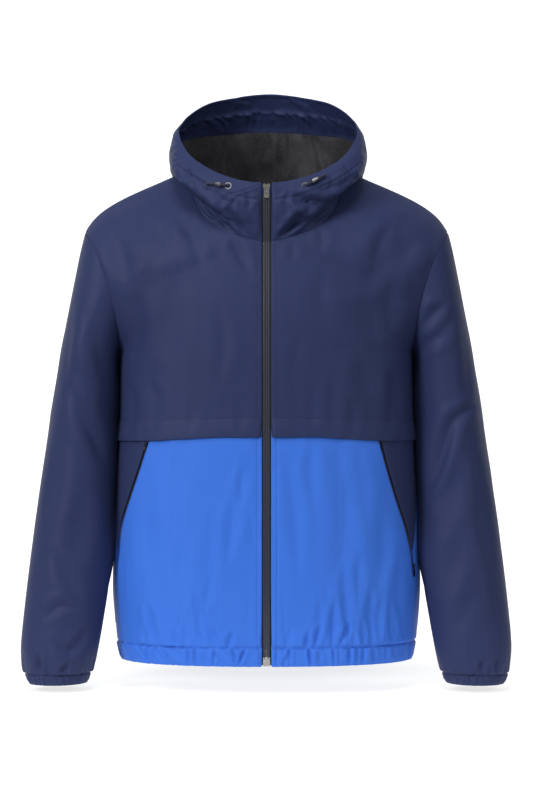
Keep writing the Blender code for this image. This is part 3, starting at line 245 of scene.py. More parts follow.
def ring_of(table, side, ring, angle):
    """A ring of a sleeve or cuff: angle 0 is its lowest point and 90 its front."""
    in_x, in_z, out_x, out_z, y, depth, bow = smooth(range(len(table)), table, ring)[0]
    turn = np.radians(np.atleast_1d(angle))
    x = (in_x + out_x) / 2 - (out_x - in_x) / 2 * np.cos(turn) - bow * np.sin(turn) ** 2
    z = (in_z + out_z) / 2 - (out_z - in_z) / 2 * np.cos(turn)
    return np.stack([side * x, y - depth * np.sin(turn), z], axis=1)


def torso_section(face, z):
    """Half width and middle y of the torso at a height below the armpit."""
    row = smooth([r[0] for r in TORSO], [r[1:] for r in TORSO], z)[0]
    return row[0], row[1 if face == "front" else 2]


def neck_angle(face, share):
    """The angle round the neck that a torso row above the neck's middle starts at."""
    first = NECK_SHARE[face]
    run = (share - first) / (1 - first)
    if face == "back":
        return 180 - 90 * run
    start = np.degrees(np.arcsin(ZIP_OPENING / HOOD[0][1][0][0]))
    return start + (90 - start) * run


def inner_edge(face, height):
    """Where a torso row starts: on the middle line, or on the neck above it."""
    share = max(height, 0) / UPPER_SPAN
    x = ZIP_OPENING if face == "front" else 0.0
    if height <= 0:
        return np.array((x, torso_section(face, ARMPIT_Z + height)[1], ARMPIT_Z + height))
    if share <= NECK_SHARE[face]:
        middle = MIDDLES[face]
        z = ARMPIT_Z + (middle[-1][0] - ARMPIT_Z) * share / NECK_SHARE[face]
        return np.array((x, smooth([r[0] for r in middle], [[r[1]] for r in middle], z)[0, 0], z))
    return hood(neck_angle(face, share), 0)[0]


def outer_edge(face, height):
    """Where a torso row ends: on the side seam, or on the armhole above it."""
    if height <= 0:
        return np.array((torso_section(face, ARMPIT_Z + height)[0], SIDE_Y, ARMPIT_Z + height))
    turn = 180 * height / UPPER_SPAN
    return ring_of(SLEEVE, 1, 0, turn if face == "front" else -turn)[0]


def steering(face):
    """The two steering points of every torso row on the front or the back."""
    heights, points = [], []
    for z, half, front, back in TORSO:
        middle = front if face == "front" else back
        heights.append(z - ARMPIT_Z)
        points.append((FULLNESS * half, middle, z,
                       half, SIDE_Y + FULLNESS * (middle - SIDE_Y), z))
    for share, inner, outer in (FRONT_ROWS if face == "front" else BACK_ROWS):
        heights.append(share * UPPER_SPAN)
        points.append(inner + outer)
    return heights, points


STEERING = {face: steering(face) for face in ("front", "back")}


def torso(face, side, height, across):
    """Points of a torso row, across 0 at the middle or neck and 1 at the side or armhole.

    height is measured from the armpit; above it, UPPER_SPAN takes the rows round to the
    shoulder seam.
    """
    a, d = inner_edge(face, height), outer_edge(face, height)
    heights, points = STEERING[face]
    steer = smooth(heights, points, height)[0]
    b, c = steer[:3], steer[3:]
    u = np.atleast_1d(np.asarray(across, float))[:, None]
    row = (1 - u) ** 3 * a + 3 * (1 - u) ** 2 * u * b + 3 * (1 - u) * u ** 2 * c + u ** 3 * d
    return row * (side, 1, 1)


def across_at(height, x):
    """How far across a front row reaches a distance x from the middle."""
    steps = np.linspace(0, 1, 201)
    return float(np.interp(x, torso("front", 1, height, steps)[:, 0], steps))


# %% The pocket line
POCKET = (
    # z      left    right
    (-0.372, 0.1520, 0.1585),
    (-0.430, 0.1680, 0.1775),
    (-0.467, 0.1795, 0.1905),
    (-0.507, 0.1930, 0.2030),
    (-0.540, 0.2010, 0.2065),
    (-0.580, 0.2035, 0.2085),
)
WEDGE_SIDE_Z = -0.430
WEDGE_APEX_Z = -0.540
SLIT_END_Z = -0.580
SLIT_HALF = 0.0022


def pocket_across(side, z, offset=0.0):
    """How far across its row a pocket slit lies, moved sideways by an offset."""
    column = 1 if side > 0 else 2
    x = smooth([-row[0] for row in POCKET], [[row[column]] for row in POCKET], -z)[0, 0]
    return across_at(z - ARMPIT_Z, x + offset)


def wedge_across(side, z):
    """How far across its row the wedge's rear edge lies: from its apex out to the side seam."""
    apex = pocket_across(side, WEDGE_APEX_Z, SLIT_HALF)
    return apex + (1 - apex) * np.clip((z - WEDGE_APEX_Z) / (WEDGE_SIDE_Z - WEDGE_APEX_Z), 0, 1)


def slit_half(z):
    """Half the slit's width: it closes to a point at its lower end."""
    return SLIT_HALF * float(ease((z - SLIT_END_Z) / (WEDGE_APEX_Z - SLIT_END_Z)))


# %% [markdown]
# ## Materials
#
# The shell is a plain-woven nylon with a soft satin shine. Up close it has fine crossing
# threads, and from a step away only a slight crinkle and an uneven sheen show. A woven
# picture could be wrapped over each piece, but nodes need no wrapping and keep one scale
# everywhere, so all of it is worked out by nodes, written as arithmetic on sockets.

# %% Shader arithmetic
class Value:
    """A socket of a node tree that can be used in Python expressions."""

    def __init__(self, tree, socket):
        self.tree, self.socket = tree, socket

    def maths(self, operation, first, second):
        return node(self.tree, "ShaderNodeMath", {"operation": operation}, {0: first, 1: second})

    def __add__(self, other):
        return self.maths("ADD", self, other)

    def __mul__(self, other):
        return self.maths("MULTIPLY", self, other)

    def __rsub__(self, other):
        return self.maths("SUBTRACT", other, self)


def node(tree, kind, settings=None, inputs=None, output=0):
    """Add a node: its settings first, then the values or links of its sockets."""
    made = tree.nodes.new(kind)
    for key, value in (settings or {}).items():
        setattr(made, key, value)
    for key, value in (inputs or {}).items():
        if isinstance(value, Value):
            tree.links.new(value.socket, made.inputs[key])
        else:
            made.inputs[key].default_value = value
    return Value(tree, made.outputs[output])


def place_of(tree):
    """Where a point of the surface is, in metres."""
    return node(tree, "ShaderNodeTexCoord", output="Object")


def grain(tree, scale, detail=2.0, stretch=(1, 1, 1), rough=0.5):
    """Noise of so many cells to the metre, stretched along the axes."""
    where = node(tree, "ShaderNodeVectorMath", {"operation": "MULTIPLY"},
                 {0: place_of(tree), 1: stretch})
    return node(tree, "ShaderNodeTexNoise", None,
                {"Vector": where, "Scale": scale, "Detail": detail, "Roughness": rough})


def threads(tree, direction, pitch):
    """Ridges that follow each other along a direction, one each pitch."""
    along = node(tree, "ShaderNodeVectorMath", {"operation": "DOT_PRODUCT"},
                 {0: place_of(tree), 1: direction}, output="Value")
    wave = node(tree, "ShaderNodeMath", {"operation": "SINE"}, {0: along * (2 * pi / pitch)})
    return wave * 0.5 + 0.5


def between(tree, dark, light, share):
    """A colour between two colours."""
    return node(tree, "ShaderNodeMix", {"data_type": "RGBA"},
                {0: share, 6: (*dark, 1), 7: (*light, 1)}, output=2)


def mottled(dark, light, scale, detail=2.0):
    """A colour that wavers between two, as a function of the node tree."""
    return lambda tree: between(tree, dark, light, grain(tree, scale, detail))


def patchy(scale, amount, base, detail=2.0):
    """A roughness that wavers up from a base, as a function of the node tree."""
    return lambda tree: grain(tree, scale, detail) * amount + base


def finish(name, colours, rough, height=None, metallic=0.0, constants=None):
    """A Principled material. The three functions take the node tree, and height gives the
    raised detail with the strength and distance of its bump."""
    made = bpy.data.materials.new(name)
    made.use_nodes = True
    tree = made.node_tree
    shader = tree.nodes["Principled BSDF"]
    tree.links.new(colours(tree).socket, shader.inputs["Base Color"])
    tree.links.new(rough(tree).socket, shader.inputs["Roughness"])
    shader.inputs["Metallic"].default_value = metallic
    for key, value in (constants or {}).items():
        shader.inputs[key].default_value = value
    if height:
        relief, strength, distance = height(tree)
        bump = node(tree, "ShaderNodeBump", None,
                    {"Height": relief, "Strength": strength, "Distance": distance})
        tree.links.new(bump.socket, shader.inputs["Normal"])
    return made


# %% Shell cloth
THREAD_PITCH = 0.0007


def nylon(name, dark, light, sheen):
    """Plain-woven nylon: crossing threads, a faint crinkle and an uneven satin shine."""
    def colours(tree):
        cloudy = grain(tree, 9, 3.0) * 0.75 + grain(tree, 900, 1.0) * 0.25
        return between(tree, dark, light, cloudy)

    def rough(tree):
        return grain(tree, 24, 3.0, (1, 1, 0.35)) * 0.14 + 0.50

    def height(tree):
        weave = threads(tree, (1, 1, 0), THREAD_PITCH) * threads(tree, (0, 0.3, 1), THREAD_PITCH)
        crinkle = grain(tree, 120, 3.0, (1, 1, 0.45), 0.6)
        return weave * 0.12 + crinkle * 0.88, 0.16, 0.0012

    return finish(name, colours, rough, height, constants={
        "Sheen Weight": sheen, "Sheen Roughness": 0.45, "Specular IOR Level": 0.12})


NAVY = nylon("navy_nylon", (0.0200, 0.0285, 0.083), (0.0262, 0.0372, 0.106), 0.01)
BLUE = nylon("blue_nylon", (0.037, 0.140, 0.590), (0.048, 0.172, 0.690), 0.01)
print("shell cloth:", NAVY.name, BLUE.name)

# %% [markdown]
# The hood is lined with a brushed knit that drinks the light. The zip tape is a ribbed
# weave, the metal parts are cast and plated, so their roughness is uneven, and the cord is
# a round braid. Each could be one flat colour, but real ones are never quite even, so all
# of them waver a little.

# %% Other finishes
def knit_colour(tree):
    brushed = grain(tree, 24, 3.0, (1, 1, 0.6)) * 0.75 + grain(tree, 300, 2.0) * 0.25
    share = node(tree, "ShaderNodeMapRange", {"clamp": True},
                 {"Value": brushed, "From Min": 0.34, "From Max": 0.66})
    return between(tree, (0.0175, 0.0165, 0.0205), (0.082, 0.079, 0.090), share)


def knit_height(tree):
    loops = threads(tree, (1, 1, 0), 0.0016) * threads(tree, (0, 0, 1), 0.0013)
    return loops * 0.5 + grain(tree, 500, 2.0) * 0.5, 0.5, 0.0008


LINING = finish("brushed_knit", knit_colour, patchy(80, 0.1, 0.85), knit_height, constants={
    "Sheen Weight": 0.12, "Sheen Roughness": 0.6, "Specular IOR Level": 0.1})
TAPE = finish("woven_tape", mottled((0.006, 0.008, 0.020), (0.016, 0.019, 0.042), 700),
              patchy(300, 0.2, 0.6),
              lambda tree: (threads(tree, (0, 0, 1), 0.0011), 0.4, 0.0004),
              constants={"Sheen Weight": 0.2})
TEETH = finish("moulded_teeth", mottled((0.030, 0.032, 0.048), (0.048, 0.050, 0.070), 200),
               patchy(400, 0.15, 0.30))


def plated(name, dark, light):
    """Cast and plated metal, faintly rough in patches."""
    return finish(name, mottled(dark, light, 150, 3.0), patchy(600, 0.22, 0.20, 3.0),
                  lambda tree: (grain(tree, 900, 2.0), 0.08, 0.0002), metallic=1.0)


def braid_colour(tree):
    strands = threads(tree, (1, 0, 1), 0.0016) * threads(tree, (1, 0, -1), 0.0016)
    return between(tree, (0.010, 0.012, 0.030), (0.045, 0.052, 0.100), strands)


def sewing_thread(name, dark, light):
    return finish(name, mottled(dark, light, 1500), patchy(900, 0.2, 0.5))


NICKEL = plated("satin_nickel", (0.27, 0.265, 0.255), (0.48, 0.47, 0.45))
GUNMETAL = plated("dark_nickel", (0.07, 0.07, 0.08), (0.17, 0.17, 0.18))
BRAID = finish("braided_cord", braid_colour, patchy(500, 0.2, 0.65))
THREAD = {
    "navy": sewing_thread("navy_thread", (0.010, 0.013, 0.040), (0.030, 0.038, 0.095)),
    "blue": sewing_thread("blue_thread", (0.016, 0.060, 0.330), (0.030, 0.110, 0.520)),
}
MATERIAL = {"navy_shell": NAVY, "blue_shell": BLUE, "lining": LINING, "zip_tape": TAPE,
            "nickel": NICKEL, "gunmetal": GUNMETAL, "braid": BRAID}
print("finishes:", len(MATERIAL) + len(THREAD) + 1)

# %% [markdown]
# ## Cloth
#
# Each piece is a grid of points on its surface, each moved a little along the surface's
# normal. What moves it is always one of four things: a listed crease, the gathers at an
# elastic, the dip at a seam, or a faint unevenness that no ironing takes out.
# A cloth simulation could find folds too, but it can't be told where each one belongs.

# %% Grids
def normals_of(grid, flip=1, closed=False):
    """Outward normals of a grid whose rows go up and whose columns run along them."""
    padded = np.concatenate([grid[:, -2:-1], grid, grid[:, 1:2]], axis=1) if closed else grid
    normals = unit(np.cross(np.gradient(padded, axis=1), np.gradient(padded, axis=0))) * flip
    return normals[:, 1:-1] if closed else normals


def from_edge(grid, edge):
    """The grid turned so that its first row is the given edge."""
    turned = {"low": grid, "high": grid[::-1], "first": np.swapaxes(grid, 0, 1),
              "last": np.swapaxes(grid, 0, 1)[::-1]}
    return turned[edge]


def run_from(grid, edge):
    """How far each point is from an edge, along the cloth."""
    grid_in = from_edge(grid, edge)
    steps = np.linalg.norm(np.diff(grid_in, axis=0), axis=2)
    run = np.concatenate([np.zeros((1, steps.shape[1])), np.cumsum(steps, axis=0)])
    if edge == "high":
        return run[::-1]
    if edge == "first":
        return run.T
    return run[::-1].T if edge == "last" else run


LATTICE_SIZE = 32
LATTICE = np.random.default_rng(11).random((LATTICE_SIZE,) * 3)


def noise(points, cell, shift=0.0):
    """Smooth random values from -1 to 1, over cells of a size in x, y and z."""
    where = points / np.asarray(cell) + shift + 100
    low = np.floor(where).astype(int)
    part = where - low
    part = part * part * (3 - 2 * part)
    total = 0
    for corner in np.ndindex(2, 2, 2):
        index = (low + corner) % LATTICE_SIZE
        weight = np.prod(np.where(corner, part, 1 - part), axis=-1)
        total = total + weight * LATTICE[index[..., 0], index[..., 1], index[..., 2]]
    return total * 2 - 1


def uneven(points, amount, across=0.030, along=0.12, shift=0.0):
    """Soft folds along the fall of the cloth, with a few sharper ones."""
    cell = (across, across, along)
    warped = points + 0.012 * np.stack([noise(points, (0.07, 0.07, 0.09), shift + k)
                                        for k in (3.1, 5.7, 9.3)], axis=-1)
    broad = noise(warped, np.array(cell) * 2.1, shift)
    sharp = 1 - np.abs(noise(warped, cell, shift + 17)) * 2
    fine = noise(warped, np.array(cell) * 0.45, shift + 29)
    return amount * (0.9 * broad + 0.45 * np.clip(sharp, 0, 1) ** 2 + 0.22 * fine)


# %% Creases
VIEWS = {"front": ((0, 2), (0, -1, 0)), "back": ((0, 2), (0, 1, 0)),
         "left": ((1, 2), (1, 0, 0)), "right": ((1, 2), (-1, 0, 0))}


def crease(points, normals, view, depth, half, path):
    """A trough between two low ridges, along a path drawn on the front, back or a side."""
    (a, b), towards = VIEWS[view]
    seen = points[..., [a, b]]
    knots = np.linspace(0, 1, len(path))
    line = smooth(knots, path, np.linspace(0, 1, 4 * len(path)))
    best = np.full(points.shape[:-1], 1e9)
    along = np.zeros(points.shape[:-1])
    for n, (start, end) in enumerate(zip(line, line[1:])):
        run = end - start
        t = np.clip((seen - start) @ run / (run @ run), 0, 1)
        away = np.linalg.norm(seen - start - t[..., None] * run, axis=-1)
        nearer = away < best
        best = np.where(nearer, away, best)
        along = np.where(nearer, (n + t) / (len(line) - 1), along)
    width = half * (0.75 + 0.5 * np.sin(pi * along))
    crisp = 1.25 if half < 0.0055 else 2.0
    profile = np.exp(-(best / width) ** crisp)
    profile -= 0.5 * bell(best - 2.0 * width, 1.1 * width)
    taper = np.sin(pi * np.clip(along, 0.03, 0.97)) ** 0.8
    facing = ease((normals @ np.array(towards) - 0.10) * 1.9)
    return -depth * MM * profile * taper * facing


def creases(points, normals, name):
    """All the creases of a piece."""
    total = np.zeros(points.shape[:-1])
    for view, rows in CREASES.get(name, {}).items():
        for depth, half, *path in rows:
            total += crease(points, normals, view, depth, half * MM, np.array(path) * MM)
    return total


# %% Gathers and seams
def gathers(run, away, pitch, height, reach, seed):
    """Puffs between narrow creases that leave a seam and die away from it.

    run is the distance along the seam and away the distance from it.
    """
    rng = np.random.default_rng(seed)
    length = float(run.max())
    widths = pitch * rng.uniform(0.45, 1.6, int(2.4 * length / pitch) + 6)
    edges = np.concatenate([[-0.4 * pitch], np.cumsum(widths) - 0.4 * pitch])
    lean = np.interp(run, np.linspace(0, length, 23), rng.uniform(-0.55, 0.55, 23))
    place = run + lean * np.minimum(away, 0.05)
    k = np.clip(np.searchsorted(edges, place) - 1, 0, len(widths) - 1)
    t = np.clip((place - edges[k]) / widths[k], 0, 1)
    tall = height * rng.uniform(0.45, 1.25, len(widths)) * np.minimum(widths / pitch, 1.1)
    far = reach * rng.uniform(0.5, 1.7, len(widths))
    skew = rng.uniform(0.7, 1.4, len(widths))
    puff = 1 - np.abs(2 * t ** skew[k] - 1) ** 2.6
    return tall[k] * puff * np.exp(-(away / far[k]) ** 1.4)


def at_seam(away, along_points, height=0.5 * MM, pucker=0.35 * MM, seed=0.0):
    """Cloth dips to a seam, swells beside it, and puckers a little along it."""
    swell = height * (1 - np.exp(-away / 0.0016)) * bell(away, 0.012)
    waves = noise(along_points, (0.011, 0.011, 0.011), 41 + seed)
    return swell + pucker * waves * ease(away / 0.002) * bell(away, 0.010)


# %% [markdown]
# A cloth edge that isn't sewn to another piece is turned under: it goes round a small half
# circle and comes back inside as a hem. That gives a thin shell the soft, slightly thick
# edge of real cloth, where an even thickness all over would give it square rims. Every
# piece is gathered up in one object here and welded.

# %% Cloth pieces
def quads_of(grid, first):
    """The corners of a grid's cells, with its points numbered from first."""
    rows, columns = grid.shape[:2]
    index = first + np.arange(rows * columns).reshape(rows, columns)
    quads = np.stack([index[:-1, :-1], index[:-1, 1:], index[1:, 1:], index[1:, :-1]], axis=-1)
    return quads.reshape(-1, 4)


def weld(mesh, distance, outward=False):
    """Make one point of those that lie together, and turn the faces outward if asked."""
    work = bmesh.new()
    work.from_mesh(mesh)
    bmesh.ops.remove_doubles(work, verts=work.verts, dist=distance)
    if outward:
        bmesh.ops.recalc_face_normals(work, faces=work.faces)
    work.to_mesh(mesh)
    work.free()


class Piece:
    """A cloth piece made of grids that share points, with its turned edges."""

    def __init__(self, name, slot, solids=None):
        self.name, self.slot, self.solids = name, slot, solids or [name]
        self.points, self.faces, self.count = [], [], 0
        self.area = 0.0
        self.across = self.along = 0.0

    def add(self, grid, flip=1):
        quads = quads_of(grid, self.count)
        self.faces.append(quads if flip > 0 else quads[:, ::-1])
        self.points.append(grid.reshape(-1, 3))
        self.count += len(self.points[-1])

    def cut(self, grid):
        """Note the size of the flat cloth that a grid takes."""
        a, b = np.diff(grid, axis=0)[:, :-1], np.diff(grid, axis=1)[:-1]
        self.area += float(np.linalg.norm(np.cross(a, b), axis=2).sum())
        self.along = max(self.along, float(run_from(grid, "low")[-1].max()))
        self.across = max(self.across, float(run_from(grid, "first")[:, -1].max()))

    def turn(self, grid, normals, edge, flip=1, radius=0.7 * MM, reach=0.012):
        """Turn an edge under."""
        points, out = from_edge(grid, edge), from_edge(normals, edge)
        beyond = unit(points[0] - points[1])
        radius = np.broadcast_to(radius, len(points[0]))[:, None]
        rows = []
        for turn in np.linspace(0, pi, 6):
            rows.append(points[0] + radius * (sin(turn) * beyond - (1 - cos(turn)) * out[0]))
        gap = float(np.median(np.linalg.norm(points[1] - points[0], axis=1)))
        last = min(int(reach / gap) + 1, len(points) - 1)
        for n in sorted({max(1, last // 4), max(1, last // 2), last}):
            rows.append(points[n] - 2 * radius * out[n])
        strip = np.array(rows)
        if edge in ("low", "first"):
            strip = strip[::-1]
        if edge in ("first", "last"):
            strip = np.swapaxes(strip, 0, 1)
        self.add(strip, flip)

    def finish(self, held="gathered", rests_on=(), lengths=None, layers=1):
        """Make the object. A casing is cut twice as long as it stands, and folded."""
        mesh = bpy.data.meshes.new(self.name)
        points, faces = np.concatenate(self.points), np.concatenate(self.faces)
        mesh.from_pydata(points.tolist(), [], faces.tolist())
        weld(mesh, 0.02 * MM)
        mesh.materials.append(MATERIAL[self.slot])
        mesh.shade_smooth()
        made = link(self.name + "_cloth", mesh)
        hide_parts(*self.solids)
        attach(made, "garment")
        size = lengths or (self.across, self.along * layers)
        area = min(self.area * layers * 1.02, size[0] * size[1] * 0.999)
        print(f"{made.name}: {len(mesh.polygons)} faces, cut {size[0]:.3f} x {size[1]:.3f} m, "
              f"{area:.4f} m2")
        return made


THREAD_LINES = {"navy": [], "blue": []}


def stitch(colour, grid, normals, edge, distance, start=0.0):
    """Mark a line of stitches that runs a distance in from an edge."""
    points, out = from_edge(grid, edge), from_edge(normals, edge)
    run = run_from(points, "low")
    count = points.shape[1]
    line, lift = [], []
    for n in range(int(start * (count - 1)), count):
        line.append(read_at(distance, run[:, n], points[:, n]))
        lift.append(read_at(distance, run[:, n], out[:, n]))
    THREAD_LINES[colour].append((np.array(line), unit(np.array(lift))))


def steps_for(length):
    """How many grid steps a length takes."""
    return max(2, int(round(length / STEP)))


# %% [markdown]
# Creases. They were placed one by one: short slanting ones that fall from the shoulders,
# a long hollow on the wearer's left chest, loose upright ones over the yoke edge and
# fans at the elbows. The hidden sides get the same kind, with other lengths and angles.
# Each row gives a depth, a half width and the points of a path, all in millimetres, drawn
# on the front and back as x and z and on the sides as y and z.

